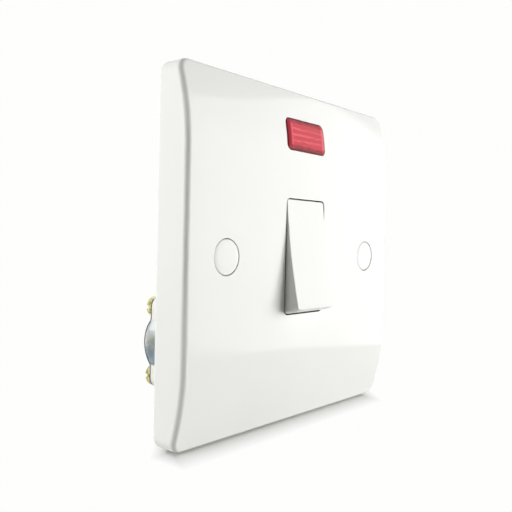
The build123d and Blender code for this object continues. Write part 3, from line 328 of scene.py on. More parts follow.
def turned_brass(name, bright, dull, patch):
    # Turned brass: bright yellow metal with fine tool rings round its axis and patches of a darker tone,
    # which are dulling, and with the clamp screws' dark olive also painted dark reflections.
    material, tree, place = start_material(name)
    axis = add_node(tree, "ShaderNodeSeparateXYZ", inputs={"Vector": place})
    rings = add_node(
        tree,
        "ShaderNodeTexNoise",
        {"noise_dimensions": "1D"},
        {"W": axis.outputs["Y"], "Scale": per_mm(0.22), "Detail": 2},
    )
    dulling = add_node(
        tree, "ShaderNodeTexNoise", inputs={"Vector": place, "Scale": per_mm(patch), "Detail": 2}
    )
    patches = add_node(
        tree,
        "ShaderNodeMapRange",
        inputs={"Value": dulling.outputs["Fac"], "From Min": 0.35, "From Max": 0.7},
    )
    tone = add_node(
        tree,
        "ShaderNodeMix",
        {"data_type": "RGBA"},
        {"Factor": patches.outputs[0], "A": bright, "B": dull},
    )
    polish = add_node(
        tree, "ShaderNodeMapRange", inputs={"Value": dulling.outputs["Fac"], "To Min": 0.1, "To Max": 0.26}
    )
    bump = add_node(
        tree,
        "ShaderNodeBump",
        inputs={"Height": rings.outputs["Fac"], "Strength": 0.2, "Distance": 0.02 * MM},
    )
    shader = add_node(
        tree,
        "ShaderNodeBsdfPrincipled",
        inputs={
            "Base Color": tone.outputs["Result"],
            "Metallic": 1.0,
            "Roughness": polish.outputs[0],
            "Normal": bump.outputs["Normal"],
        },
    )
    end_material(tree, shader)
    return material


def zinc_plate(colours, sheared):
    # Bright zinc plate with a clear passivate: silver steel that leans blue in patches, with a painted
    # reflection below the strap's middle, a bluer grey for the shaded housing that it mirrors, and, on a
    # strip, dark dull sheared edges.
    material, tree, place = start_material("zinc plated steel")
    patches = add_node(tree, "ShaderNodeTexNoise", inputs={"Vector": place, "Scale": per_mm(7), "Detail": 1})
    height = add_node(tree, "ShaderNodeSeparateXYZ", inputs={"Vector": place})
    # Painted reflection: the plating turns bluer grey below the strap's middle, where it would mirror the
    # shaded housing.
    low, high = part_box("clamp_strap")
    middle = (low.z + high.z) / 2
    painted_reflection = add_node(
        tree,
        "ShaderNodeMapRange",
        {"interpolation_type": "SMOOTHSTEP"},
        {"Value": height.outputs["Z"], "From Min": middle + PAINTED_REFLECTION_HEIGHTS[0], "From Max": middle + PAINTED_REFLECTION_HEIGHTS[1]},
    )
    mottled = add_node(
        tree,
        "ShaderNodeMath",
        {"operation": "MULTIPLY_ADD"},
        {0: painted_reflection.outputs[0], 1: PAINTED_REFLECTION_TINT, 2: patches.outputs["Fac"]},
    )
    tinted = add_node(
        tree, "ShaderNodeMapRange", inputs={"Value": mottled.outputs[0], "From Min": 0.6, "From Max": 0.9}
    )
    tone = add_node(
        tree,
        "ShaderNodeMix",
        {"data_type": "RGBA"},
        {"Factor": tinted.outputs[0], "A": colours.zinc, "B": colours.zinc_tint_and_painted_reflection},
    )
    facing = add_node(tree, "ShaderNodeNewGeometry")
    across = add_node(tree, "ShaderNodeSeparateXYZ", inputs={"Vector": facing.outputs["True Normal"]})
    sideways = add_node(tree, "ShaderNodeMath", {"operation": "ABSOLUTE"}, {0: across.outputs["X"]})
    cut = add_node(
        tree,
        "ShaderNodeMapRange",
        inputs={"Value": sideways.outputs[0], "From Min": 0.5, "From Max": 0.8, "To Max": sheared},
    )
    edged = add_node(
        tree,
        "ShaderNodeMix",
        {"data_type": "RGBA"},
        {"Factor": cut.outputs[0], "A": tone.outputs["Result"], "B": colours.zinc_edge},
    )
    along = add_node(tree, "ShaderNodeMapping", inputs={"Vector": place, "Scale": (1, 0.06, 0.06)})
    rolling = add_node(
        tree, "ShaderNodeTexNoise", inputs={"Vector": along.outputs[0], "Scale": per_mm(0.15), "Detail": 3}
    )
    polish = add_node(
        tree, "ShaderNodeMapRange", inputs={"Value": rolling.outputs["Fac"], "To Min": 0.18, "To Max": 0.27}
    )
    bump = add_node(
        tree,
        "ShaderNodeBump",
        inputs={"Height": rolling.outputs["Fac"], "Strength": 0.06, "Distance": 0.01 * MM},
    )
    shader = add_node(
        tree,
        "ShaderNodeBsdfPrincipled",
        inputs={
            "Base Color": edged.outputs["Result"],
            "Metallic": 1.0,
            "Roughness": polish.outputs[0],
            "Normal": bump.outputs["Normal"],
        },
    )
    end_material(tree, shader)
    return material


def red_polycarbonate(colours, sizes):
    # Clear red polycarbonate over a pale tray, drawn as an opaque gloss with painted light and shade:
    # pink bands of painted light where its inner ribs gather light, a deeper red between them, a
    # painted highlight near each end, painted shade on the bevel round the window, and almost black
    # red along its edges, painted shade where the wall is thick.
    material, tree, place = start_material("red polycarbonate")
    low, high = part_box("neon_lens")
    from_middle = add_node(
        tree, "ShaderNodeVectorMath", {"operation": "SUBTRACT"}, {0: place, 1: (low + high) / 2}
    )
    along = add_node(tree, "ShaderNodeSeparateXYZ", inputs={"Vector": from_middle.outputs[0]})
    outward = add_node(tree, "ShaderNodeVectorMath", {"operation": "ABSOLUTE"}, {0: from_middle.outputs[0]})
    half = Vector((sizes.lens_width / 2, 0, sizes.lens_height / 2))
    inward = add_node(
        tree, "ShaderNodeVectorMath", {"operation": "SUBTRACT"}, {0: half, 1: outward.outputs[0]}
    )
    margins = add_node(tree, "ShaderNodeSeparateXYZ", inputs={"Vector": inward.outputs[0]})
    margin = add_node(
        tree, "ShaderNodeMath", {"operation": "MINIMUM"}, {0: margins.outputs["X"], 1: margins.outputs["Z"]}
    )
    # Painted shade: almost black red along the edges of the lens.
    rim = add_node(
        tree,
        "ShaderNodeMapRange",
        {"interpolation_type": "SMOOTHSTEP"},
        {
            "Value": margin.outputs[0],
            "From Min": LENS_RIM_SHADE[0],
            "From Max": LENS_RIM_SHADE[1],
            "To Min": 1,
            "To Max": 0,
        },
    )
    drift = add_node(tree, "ShaderNodeTexNoise", inputs={"Vector": place, "Scale": per_mm(2.2), "Detail": 1})
    wavy = add_node(
        tree,
        "ShaderNodeMath",
        {"operation": "MULTIPLY_ADD"},
        {0: drift.outputs["Fac"], 1: RIB_WANDER, 2: along.outputs["Z"]},
    )
    turns = add_node(
        tree,
        "ShaderNodeMath",
        {"operation": "MULTIPLY"},
        {0: wavy.outputs[0], 1: 2 * math.pi / sizes.rib_pitch},
    )
    wave = add_node(tree, "ShaderNodeMath", {"operation": "SINE"}, {0: turns.outputs[0]})
    ribs = add_node(
        tree,
        "ShaderNodeMapRange",
        {"interpolation_type": "SMOOTHSTEP"},
        {"Value": wave.outputs[0], "From Min": -0.3, "From Max": 0.9},
    )
    across = add_node(
        tree,
        "ShaderNodeMapRange",
        {"interpolation_type": "SMOOTHSTEP"},
        {"Value": margins.outputs["X"], "From Min": LENS_ENDS[0], "From Max": LENS_ENDS[1]},
    )
    upright = add_node(
        tree,
        "ShaderNodeMapRange",
        {"interpolation_type": "SMOOTHSTEP"},
        {"Value": margins.outputs["Z"], "From Min": LENS_BEVEL[0], "From Max": LENS_BEVEL[1]},
    )
    window = add_node(
        tree, "ShaderNodeMath", {"operation": "MINIMUM"}, {0: across.outputs[0], 1: upright.outputs[0]}
    )
    # Painted light: pink bands where the ribs inside the lens gather light.
    lit_ribs = add_node(
        tree, "ShaderNodeMath", {"operation": "MULTIPLY"}, {0: ribs.outputs[0], 1: window.outputs[0]}
    )
    ends = add_node(tree, "ShaderNodeMath", {"operation": "SUBTRACT"}, {0: 1, 1: across.outputs[0]})
    stretch = add_node(tree, "ShaderNodeMapping", inputs={"Vector": place, "Scale": (0.22, 1, 1)})
    clouds = add_node(
        tree, "ShaderNodeTexNoise", inputs={"Vector": stretch.outputs[0], "Scale": per_mm(0.8), "Detail": 2}
    )
    patchy = add_node(
        tree,
        "ShaderNodeMapRange",
        inputs={"Value": clouds.outputs["Fac"], "From Min": 0.35, "From Max": 0.6, "To Min": 0.25},
    )
    patched = add_node(
        tree, "ShaderNodeMath", {"operation": "MULTIPLY"}, {0: lit_ribs.outputs[0], 1: patchy.outputs[0]}
    )
    # Painted highlight: a brighter pink band near each end of the window.
    painted_end_glow = add_node(
        tree,
        "ShaderNodeMapRange",
        inputs={"Value": margins.outputs["X"], "From Min": LENS_PAINTED_GLOW[0], "From Max": LENS_PAINTED_GLOW[1]},
    )
    glow = add_node(
        tree, "ShaderNodeMath", {"operation": "MAXIMUM"}, {0: patched.outputs[0], 1: painted_end_glow.outputs[0]}
    )
    # Painted shade: the bevel round the window and its ends, darker red in patches.
    shaded = add_node(
        tree, "ShaderNodeMath", {"operation": "MAXIMUM"}, {0: patchy.outputs[0], 1: ends.outputs[0]}
    )
    bevel = add_node(
        tree,
        "ShaderNodeMix",
        {"data_type": "RGBA"},
        {"Factor": shaded.outputs[0], "A": colours.lens_painted_edge_shade, "B": colours.lens_painted_bevel_shade},
    )
    pane = add_node(
        tree,
        "ShaderNodeMix",
        {"data_type": "RGBA"},
        {"Factor": glow.outputs[0], "A": colours.lens_deep, "B": colours.lens_painted_rib_light},
    )
    tone = add_node(
        tree,
        "ShaderNodeMix",
        {"data_type": "RGBA"},
        {"Factor": window.outputs[0], "A": bevel.outputs["Result"], "B": pane.outputs["Result"]},
    )
    edged = add_node(
        tree,
        "ShaderNodeMix",
        {"data_type": "RGBA"},
        {"Factor": rim.outputs[0], "A": tone.outputs["Result"], "B": colours.lens_painted_edge_shade},
    )
    sides = add_node(
        tree,
        "ShaderNodeMapRange",
        inputs={
            "Value": margin.outputs[0],
            "From Min": LENS_WALL[0],
            "From Max": LENS_WALL[1],
            "To Min": 1,
            "To Max": 0,
        },
    )
    walled = add_node(
        tree,
        "ShaderNodeMix",
        {"data_type": "RGBA"},
        {"Factor": sides.outputs[0], "A": edged.outputs["Result"], "B": colours.lens_wall},
    )
    shader = add_node(
        tree,
        "ShaderNodeBsdfPrincipled",
        inputs={
            "Base Color": walled.outputs["Result"],
            "Roughness": 0.07,
            "IOR": 1.45,
            "Specular IOR Level": 0.2,
        },
    )
    end_material(tree, shader)
    return material


def plain_metal(name, colour, shade, roughness):
    # Rolled or drawn metal: an even shine with soft patches of a darker tone, where it shines less.
    material, tree, place = start_material(name)
    patches = add_node(
        tree, "ShaderNodeTexNoise", inputs={"Vector": place, "Scale": per_mm(1.5), "Detail": 3}
    )
    tone = add_node(
        tree,
        "ShaderNodeMix",
        {"data_type": "RGBA"},
        {"Factor": patches.outputs["Fac"], "A": colour, "B": shade},
    )
    polish = add_node(
        tree,
        "ShaderNodeMapRange",
        inputs={"Value": patches.outputs["Fac"], "To Min": roughness * 0.7, "To Max": roughness * 1.3},
    )
    shader = add_node(
        tree,
        "ShaderNodeBsdfPrincipled",
        inputs={"Base Color": tone.outputs["Result"], "Metallic": 1.0, "Roughness": polish.outputs[0]},
    )
    end_material(tree, shader)
    return material


def lamp_glass(colours):
    # Soda glass of the lamp: clear and thin, a little smoky where the getter was fired at its pinch.
    material, tree, place = start_material("soda glass")
    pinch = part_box("neon_lamp")[1].x
    along = add_node(tree, "ShaderNodeSeparateXYZ", inputs={"Vector": place})
    smoke = add_node(
        tree,
        "ShaderNodeMapRange",
        {"interpolation_type": "SMOOTHSTEP"},
        {"Value": along.outputs["X"], "From Min": pinch - GETTER_REACH, "From Max": pinch},
    )
    tone = add_node(
        tree,
        "ShaderNodeMix",
        {"data_type": "RGBA"},
        {"Factor": smoke.outputs[0], "A": colours.glass, "B": colours.getter},
    )
    shader = add_node(
        tree,
        "ShaderNodeBsdfPrincipled",
        inputs={
            "Base Color": tone.outputs["Result"],
            "Roughness": 0.03,
            "IOR": 1.51,
            "Transmission Weight": 1.0,
        },
    )
    end_material(tree, shader)
    return material


def banded_lacquer(colours):
    # Tan lacquer of a small film resistor: satin, dipped a little unevenly, with four painted bands.
    material, tree, place = start_material("banded resistor lacquer")
    along = add_node(tree, "ShaderNodeSeparateXYZ", inputs={"Vector": place})
    length = add_node(
        tree,
        "ShaderNodeMapRange",
        inputs={"Value": along.outputs["X"], "From Min": -RESISTOR_HALF, "From Max": RESISTOR_HALF},
    )
    bands = add_node(tree, "ShaderNodeValToRGB", inputs={"Fac": length.outputs[0]})
    ramp = bands.color_ramp
    ramp.interpolation = "CONSTANT"
    for end in ramp.elements:
        end.color = colours.lacquer
    for start, band in RESISTOR_BANDS:
        ramp.elements.new(start).color = linear(band)
        ramp.elements.new(start + BAND_WIDTH).color = colours.lacquer
    dip = add_node(tree, "ShaderNodeTexNoise", inputs={"Vector": place, "Scale": per_mm(1.1), "Detail": 2})
    gloss = add_node(
        tree, "ShaderNodeMapRange", inputs={"Value": dip.outputs["Fac"], "To Min": 0.28, "To Max": 0.5}
    )
    shader = add_node(
        tree,
        "ShaderNodeBsdfPrincipled",
        inputs={"Base Color": bands.outputs["Color"], "Roughness": gloss.outputs[0], "IOR": 1.5},
    )
    end_material(tree, shader)
    return material


def soft_sleeve(colours):
    # Soft vinyl sleeve: white with a dull sheen and faint handling marks.
    material, tree, place = start_material("vinyl sleeve")
    marks = add_node(tree, "ShaderNodeTexNoise", inputs={"Vector": place, "Scale": per_mm(1.4), "Detail": 3})
    tone = add_node(
        tree,
        "ShaderNodeMix",
        {"data_type": "RGBA"},
        {"Factor": marks.outputs["Fac"], "A": colours.sleeve, "B": colours.sleeve_shade},
    )
    gloss = add_node(
        tree, "ShaderNodeMapRange", inputs={"Value": marks.outputs["Fac"], "To Min": 0.4, "To Max": 0.6}
    )
    shader = add_node(
        tree,
        "ShaderNodeBsdfPrincipled",
        inputs={"Base Color": tone.outputs["Result"], "Roughness": gloss.outputs[0], "IOR": 1.53},
    )
    end_material(tree, shader)
    return material


def colour_property(name, description, hex_colour):
    """A colour that a user can change, kept in linear RGBA."""
    return bpy.props.FloatVectorProperty(
        name=name, description=description, subtype="COLOR", size=4, min=0, max=1, default=linear(hex_colour)
    )


def length_property(name, description, millimetres):
    """A length that a user can change, kept in metres."""
    return bpy.props.FloatProperty(
        name=name, description=description, unit="LENGTH", precision=5, default=millimetres * MM
    )


def power_property(name, description, watts):
    """A lamp's power that a user can change."""
    return bpy.props.FloatProperty(name=name, description=description, unit="POWER", default=watts)


class SwitchColours(bpy.types.PropertyGroup):
    """Colours of the switch's materials."""

    moulding: colour_property("Moulding", "White of the plate, rocker and caps", "#f3f4f1")
    moulding_shade: colour_property(
        "Moulding shade", "Warmer white where the moulding flowed slowly", "#eff0ec"
    )
    # Painted shade: the grey darkening down the gap round the rocker.
    painted_gap_shade: colour_property("Dust", "Grey dust down the gap round the rocker", "#383836")
    nylon: colour_property("Nylon", "Off white of the housing, saddle, tray and plungers", "#f2f1ec")
    nylon_shade: colour_property("Nylon shade", "Streaks in the nylon", "#e6e4db")
    brass: colour_property("Brass", "Bright brass of the terminals and their screws", "#e6da86")
    brass_shade: colour_property("Brass shade", "Dulled brass", "#9a8a4e")
    worn_brass: colour_property("Worn brass", "Pale rubbed brass of the clamp's screws", "#f1eaa4")
    # Olive tarnish, and painted dark reflections, on the clamp's screws.
    worn_brass_tarnish_and_reflection: colour_property(
        "Worn brass shade", "Olive tarnish on the clamp's screws", "#413a1b"
    )
    zinc: colour_property("Zinc", "Plated strap and housing screws", "#f4f9fc")
    # Blue tint of the passivate, and of the painted reflection below the strap's middle.
    zinc_tint_and_painted_reflection: colour_property("Zinc tint", "Blue tint of the passivate", "#b9cbe0")
    zinc_edge: colour_property("Zinc edge", "Dull sheared edges of the strap", "#59656d")
    # Painted light: pink of the ribs inside the lens, where they gather light.
    lens_painted_rib_light: colour_property("Lens ribs", "Pink of the ribs inside the lens", "#f05866")
    lens_deep: colour_property("Lens red", "Red between the ribs", "#cf3646")
    # Painted shade on the bevel round the lens.
    lens_painted_bevel_shade: colour_property("Lens bevel", "Darker red of the bevel round the lens", "#bf3445")
    lens_wall: colour_property("Lens wall", "Clear red of the sides of the lens, down its window", "#c8102a")
    # Painted shade along the edges of the lens.
    lens_painted_edge_shade: colour_property("Lens edge", "Deep red along the edges of the lens", "#5a0d18")
    copper: colour_property("Copper", "Contact bars", "#d98e6a")
    copper_shade: colour_property("Copper shade", "Tarnish on the contact bars", "#a9603f")
    silver: colour_property("Silver", "Contact tips", "#eceae4")
    silver_shade: colour_property("Silver shade", "Dull patches on the contact tips", "#cbc7bd")
    steel: colour_property("Spring steel", "Springs behind the plungers", "#b9bbbf")
    steel_shade: colour_property("Spring shade", "Drawing marks on the springs", "#8c8f96")
    nickel: colour_property("Nickel", "Electrodes of the lamp", "#d3cec3")
    nickel_shade: colour_property("Nickel shade", "Dull patches on the electrodes", "#a8a296")
    glass: colour_property("Lamp glass", "Clear glass of the lamp", "#f7f5f2")
    getter: colour_property("Getter", "Smoky film at the lamp's pinch", "#a39a92")
    lacquer: colour_property("Lacquer", "Body of the resistor", "#c9ad7c")
    sleeve: colour_property("Sleeve", "Insulation of the lamp's leads", "#e6e5df")
    sleeve_shade: colour_property("Sleeve shade", "Handling marks on the insulation", "#d2d0c8")


class SwitchSizes(bpy.types.PropertyGroup):
    """Sizes of the pieces that are made here, and of marks on the others."""

    moulded_edge: length_property(
        "Moulded edge", "Rounding that the mould leaves on the plate's sharp edges", 0.15
    )
    # How narrow a gap has to be to take the painted shade.
    gap_shade_reach: length_property("Dust reach", "How narrow a gap has to be to hold dust", 1.2)
    cap_dome: length_property("Cap dome", "How far a cap's middle stands over its edge", 0.05)
    cap_edge: length_property("Cap edge", "Rounding of a cap's rim", 0.18)
    cap_wall: length_property("Cap wall", "Thickness of a cap's disc", 1.6)
    skirt_radius: length_property("Skirt radius", "Radius of the skirt that grips the screw recess", 3.52)
    skirt_wall: length_property("Skirt wall", "Thickness of the skirt", 0.7)
    lens_width: length_property("Lens width", "Width of the lens in its window", 16.5)
    lens_height: length_property("Lens height", "Height of the lens in its window", 8.1)
    rib_pitch: length_property("Rib pitch", "Distance between the ribs inside the lens", 1.5)
    strap_gauge: length_property("Strap gauge", "Thickness of the clamp strap", 0.4)
    strap_chord: length_property(
        "Strap chord", "Width of the strap's arch where it leaves the flats", 11.6
    )
    strap_bend: length_property("Strap bend", "Length of the bend between the arch and a flat", 0.7)
    strap_end: length_property("Strap end", "Rounding of the strap's ends", 2.9)
    strap_edge: length_property("Strap edge", "Break along the strap's edges", 0.06)


class StageSettings(bpy.types.PropertyGroup):
    """Paper, lamps and light round the switch."""

    paper: colour_property("Paper", "Pale paper that the switch stands on", "#c4c4c1")
    felt: colour_property("Felt", "Black felt on the board by the camera", "#1c1b18")
    felt_nap: colour_property("Felt nap", "Paler nap of the felt", "#2b2a25")
    foot: length_property("Foot", "Depth of the plate where it stands on the paper", 6.5)
    shadow: length_property("Shadow", "How far the paper stays shaded in front of the plate", 8)
    flag_size: length_property("Flag", "Side of the dark board by the camera", 300)
    key_power: power_property("Key", "Power of the large soft box at the front right", 7.9)
    card_power: power_property("Card", "Power of the card that the gloss mirrors", 0.048)
    backdrop_power: power_property("Backdrop", "Power of the lamp behind and to the left", 2.7)
    rear_power: power_property("Rear", "Power of the lamp behind the switch", 2.6)
    fill: bpy.props.FloatProperty(
        name="Fill", description="Strength of the light from all round", min=0, default=0.01
    )


def finish_nodes(material, *names):
    """Gives CAD nodes a finished material in their own slot."""
    for name in names:
        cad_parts[name].material_slots[0].material = material


def finish_piece(name, shape, material, body, slot, *replaced):
    """Makes an object of a finished shape, on its body and in place of the CAD nodes it stands for."""
    mesh = bpy.data.meshes.new(name)
    shape.to_mesh(mesh)
    shape.free()
    mesh.materials.append(material)
    mesh.shade_smooth()
    mesh.set_sharp_from_angle(angle=SMOOTH_EDGE)
    piece = bpy.data.objects.new(name, mesh)
    bpy.context.scene.collection.objects.link(piece)
    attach(piece, body)
    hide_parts(*replaced)


def turn_cap(sizes, low, high):
    """A round cap with a faint dome, a rounded rim and a skirt, turned about its middle."""
    middle = (low + high) / 2
    radius = (high.x - low.x) / 2
    seat = low.y + sizes.cap_wall
    inner = sizes.skirt_radius - sizes.skirt_wall
    shape = bmesh.new()
    profile = [
        shape.verts.new((middle.x + out, depth, middle.z))
        for out, depth in (
            (0, low.y),
            (radius * DOME_SHARE, low.y + sizes.cap_dome * DOME_SHARE**2),
            (radius, low.y + sizes.cap_dome),
            (radius, seat),
            (sizes.skirt_radius, seat),
            (sizes.skirt_radius, high.y),
            (inner, high.y),
            (inner, seat),
            (0, seat),
        )
    ]
    edges = [shape.edges.new(pair) for pair in zip(profile, profile[1:])]
    bmesh.ops.spin(
        shape,
        geom=profile + edges,
        cent=(middle.x, 0, middle.z),
        axis=(0, 1, 0),
        angle=2 * math.pi,
        steps=CAP_STEPS,
        use_merge=True,
    )
    bmesh.ops.remove_doubles(shape, verts=shape.verts, dist=SAME_PLACE)
    bmesh.ops.recalc_face_normals(shape, faces=shape.faces)
    rim = [
        edge
        for edge in shape.edges
        if all(
            abs(math.hypot(v.co.x - middle.x, v.co.z - middle.z) - radius) < ON_RIM
            and v.co.y < seat - OFF_SEAT
            for v in edge.verts
        )
    ]
    bmesh.ops.bevel(
        shape, geom=rim, offset=sizes.cap_edge, affect="EDGES", segments=4, profile=0.5, material=-1
    )
    return shape


def bend_strap(sizes, low, high):
    """A thin strip arched between two flats, with rounded ends and broken edges."""
    middle = (low.z + high.z) / 2
    flat = low.y + sizes.strap_gauge
    rise = high.y - flat
    radius = (sizes.strap_chord**2 / 4 + rise**2) / (2 * rise)
    sweep = 2 * math.asin(sizes.strap_chord / 2 / radius)
    shape = bmesh.new()
    ends = [shape.verts.new((x, flat, middle - sizes.strap_chord / 2)) for x in (low.x, high.x)]
    start = shape.edges.new(ends)
    arch = bmesh.ops.spin(
        shape,
        geom=[*ends, start],
        cent=(0, high.y - radius, middle),
        axis=(1, 0, 0),
        angle=sweep,
        steps=ARCH_STEPS,
    )
    finish = [item for item in arch["geom_last"] if isinstance(item, bmesh.types.BMEdge)]
    bends = [start, *finish]
    for edge, reach in ((start, low.z), (finish[0], high.z)):
        flap = bmesh.ops.extrude_edge_only(shape, edges=[edge])
        for item in flap["geom"]:
            if isinstance(item, bmesh.types.BMVert):
                item.co.z = reach
    bmesh.ops.bevel(
        shape, geom=bends, offset=sizes.strap_bend, affect="EDGES", segments=5, profile=0.5, material=-1
    )
    corners = [v for v in shape.verts if len(v.link_edges) == 2]
    bmesh.ops.bevel(
        shape, geom=corners, offset=sizes.strap_end, affect="VERTICES", segments=8, profile=0.5, material=-1
    )
    bmesh.ops.remove_doubles(shape, verts=shape.verts, dist=SAME_PLACE)
    bmesh.ops.recalc_face_normals(shape, faces=shape.faces)
    if sum(face.normal.y for face in shape.faces) < 0:
        bmesh.ops.reverse_faces(shape, faces=shape.faces)
    bmesh.ops.solidify(shape, geom=shape.faces[:], thickness=sizes.strap_gauge)
    edges = [
        edge for edge in shape.edges if len(edge.link_faces) == 2 and edge.calc_face_angle() > SHARP_EDGE
    ]
    bmesh.ops.bevel(
        shape, geom=edges, offset=sizes.strap_edge, affect="EDGES", segments=2, profile=0.5, material=-1
    )
    return shape


class SWITCH_OT_mouldings(bpy.types.Operator):
    """Finish the plate and the rocker, and turn the caps over the fixing screws"""

    bl_idname = "switch.mouldings"
    bl_label = "Plate, rocker and caps"

    def execute(self, context):
        sizes = context.scene.switch_sizes
        urea = urea_moulding(context.scene.switch_colours, sizes)
        finish_nodes(urea, "front_plate", "rocker")
        for side in ("left", "right"):
            shape = turn_cap(sizes, *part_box(f"screw_cap_{side}"))
            finish_piece(f"cap_{side}", shape, urea, "plate", "white_urea", f"screw_cap_{side}")
        return {"FINISHED"}


class SWITCH_OT_neon(bpy.types.Operator):
    """Finish the neon indicator: lens, tray, lamp, resistor and leads"""

    bl_idname = "switch.neon"
    bl_label = "Neon indicator"

    def execute(self, context):
        colours = context.scene.switch_colours
        finish_nodes(red_polycarbonate(colours, context.scene.switch_sizes), "neon_lens")
        finish_nodes(filled_nylon(colours), "lamp_holder")
        finish_nodes(lamp_glass(colours), "neon_lamp")
        nickel = plain_metal("nickel wire", colours.nickel, colours.nickel_shade, roughness=0.3)
        finish_nodes(nickel, "lamp_electrodes")
        finish_nodes(banded_lacquer(colours), "dropper_resistor")
        finish_nodes(soft_sleeve(colours), *both_sides("neon_lead"))
        return {"FINISHED"}


class SWITCH_OT_contacts(bpy.types.Operator):
    """Finish the plungers, contact bars, terminals and their screws"""

    bl_idname = "switch.contacts"
    bl_label = "Contacts and terminals"

    def execute(self, context):
        colours = context.scene.switch_colours
        finish_nodes(filled_nylon(colours), *both_sides("plunger"))
        steel = plain_metal("spring steel wire", colours.steel, colours.steel_shade, roughness=0.3)
        finish_nodes(steel, *both_sides("plunger_spring"))
        copper = plain_metal("rolled copper", colours.copper, colours.copper_shade, roughness=0.32)
        finish_nodes(copper, *both_sides("contact_bar"))
        silver = plain_metal("fine silver", colours.silver, colours.silver_shade, roughness=0.26)
        finish_nodes(silver, *both_sides("moving_tip"), "fixed_tips")
        brass = turned_brass("turned brass", colours.brass, colours.brass_shade, patch=3)
        finish_nodes(brass, *both_sides("supply_terminal"), *both_sides("load_terminal"))
        finish_nodes(brass, "terminal_screws", "earth_terminal", "earth_screw")
        return {"FINISHED"}


class SWITCH_OT_housing(bpy.types.Operator):
    """Finish the rear housing and the screws that hold it"""

    bl_idname = "switch.housing"
    bl_label = "Rear housing"

    def execute(self, context):
        colours = context.scene.switch_colours
        finish_nodes(filled_nylon(colours), "switch_base")
        finish_nodes(zinc_plate(colours, sheared=0), "base_screws")
        return {"FINISHED"}


class SWITCH_OT_clamp(bpy.types.Operator):
    """Bend the cord clamp's strap, and finish its saddle and screws"""

    bl_idname = "switch.clamp"
    bl_label = "Cord clamp"

    def execute(self, context):
        colours = context.scene.switch_colours
        finish_nodes(filled_nylon(colours), "clamp_saddle")
        # Its dark olive patches are tarnish and also painted dark reflections.
        worn = turned_brass("worn brass", colours.worn_brass, colours.worn_brass_tarnish_and_reflection, patch=1.3)
        finish_nodes(worn, "clamp_screws")
        shape = bend_strap(context.scene.switch_sizes, *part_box("clamp_strap"))
        zinc = zinc_plate(colours, sheared=1)
        finish_piece("strap", shape, zinc, "plate", "zinc_steel", "clamp_strap")
        return {"FINISHED"}


def paper_sweep(stage):
    # White paper: matt and even, shaded close to the plate and as white as the background beyond.
    material, tree, place = start_material("white paper sweep")
    low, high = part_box("front_plate")
    along = add_node(tree, "ShaderNodeSeparateXYZ", inputs={"Vector": place})
    slant = add_node(
        tree, "ShaderNodeMath", {"operation": "SUBTRACT"}, {0: along.outputs["X"], 1: along.outputs["Y"]}
    )
    runs_out = None
    for reach, edge, (start, end) in (
        (along.outputs["Y"], -stage.foot, (0, -stage.shadow)),
        (along.outputs["Y"], 0, SHADE_BEHIND),
        (slant.outputs[0], low.x, SHADE_LEFT_SLANT),
        (along.outputs["X"], low.x, SHADE_LEFT),
        (slant.outputs[0], high.x, SHADE_RIGHT_SLANT),
        (along.outputs["X"], high.x, SHADE_RIGHT),
    ):
        side = add_node(
            tree,
            "ShaderNodeMapRange",
            inputs={"Value": reach, "From Min": edge + start, "From Max": edge + end},
        )
        if runs_out is None:
            runs_out = side
        else:
            runs_out = add_node(
                tree,
                "ShaderNodeMath",
                {"operation": "MAXIMUM"},
                {0: runs_out.outputs[0], 1: side.outputs[0]},
            )
    quickly = add_node(tree, "ShaderNodeMath", {"operation": "SQRT"}, {0: runs_out.outputs[0]})
    path = add_node(tree, "ShaderNodeLightPath")
    seen = add_node(
        tree,
        "ShaderNodeMath",
        {"operation": "MULTIPLY"},
        {0: quickly.outputs[0], 1: path.outputs["Is Camera Ray"]},
    )
    mirrored = add_node(
        tree,
        "ShaderNodeMath",
        {"operation": "ADD", "use_clamp": True},
        {0: path.outputs["Is Glossy Ray"], 1: path.outputs["Is Transmission Ray"]},
    )
    share = add_node(
        tree, "ShaderNodeMath", {"operation": "MAXIMUM"}, {0: seen.outputs[0], 1: mirrored.outputs[0]}
    )
    paper = add_node(
        tree, "ShaderNodeBsdfPrincipled", inputs={"Base Color": stage.paper, "Roughness": 0.9}
    )
    white = add_node(tree, "ShaderNodeEmission", inputs={"Color": linear(WHITE), "Strength": 1.0})
    mixed = add_node(
        tree, "ShaderNodeMixShader", inputs={0: share.outputs[0], 1: paper.outputs[0], 2: white.outputs[0]}
    )
    end_material(tree, mixed)
    return material


def black_felt(stage):
    # Black felt on a board by the camera: matt and faintly mottled, for the metal to mirror.
    material, tree, place = start_material("black felt")
    nap = add_node(tree, "ShaderNodeTexNoise", inputs={"Vector": place, "Scale": per_mm(20), "Detail": 3})
    tone = add_node(
        tree,
        "ShaderNodeMix",
        {"data_type": "RGBA"},
        {"Factor": nap.outputs["Fac"], "A": stage.felt, "B": stage.felt_nap},
    )
    shader = add_node(
        tree, "ShaderNodeBsdfPrincipled", inputs={"Base Color": tone.outputs["Result"], "Roughness": 1.0}
    )
    end_material(tree, shader)
    return material


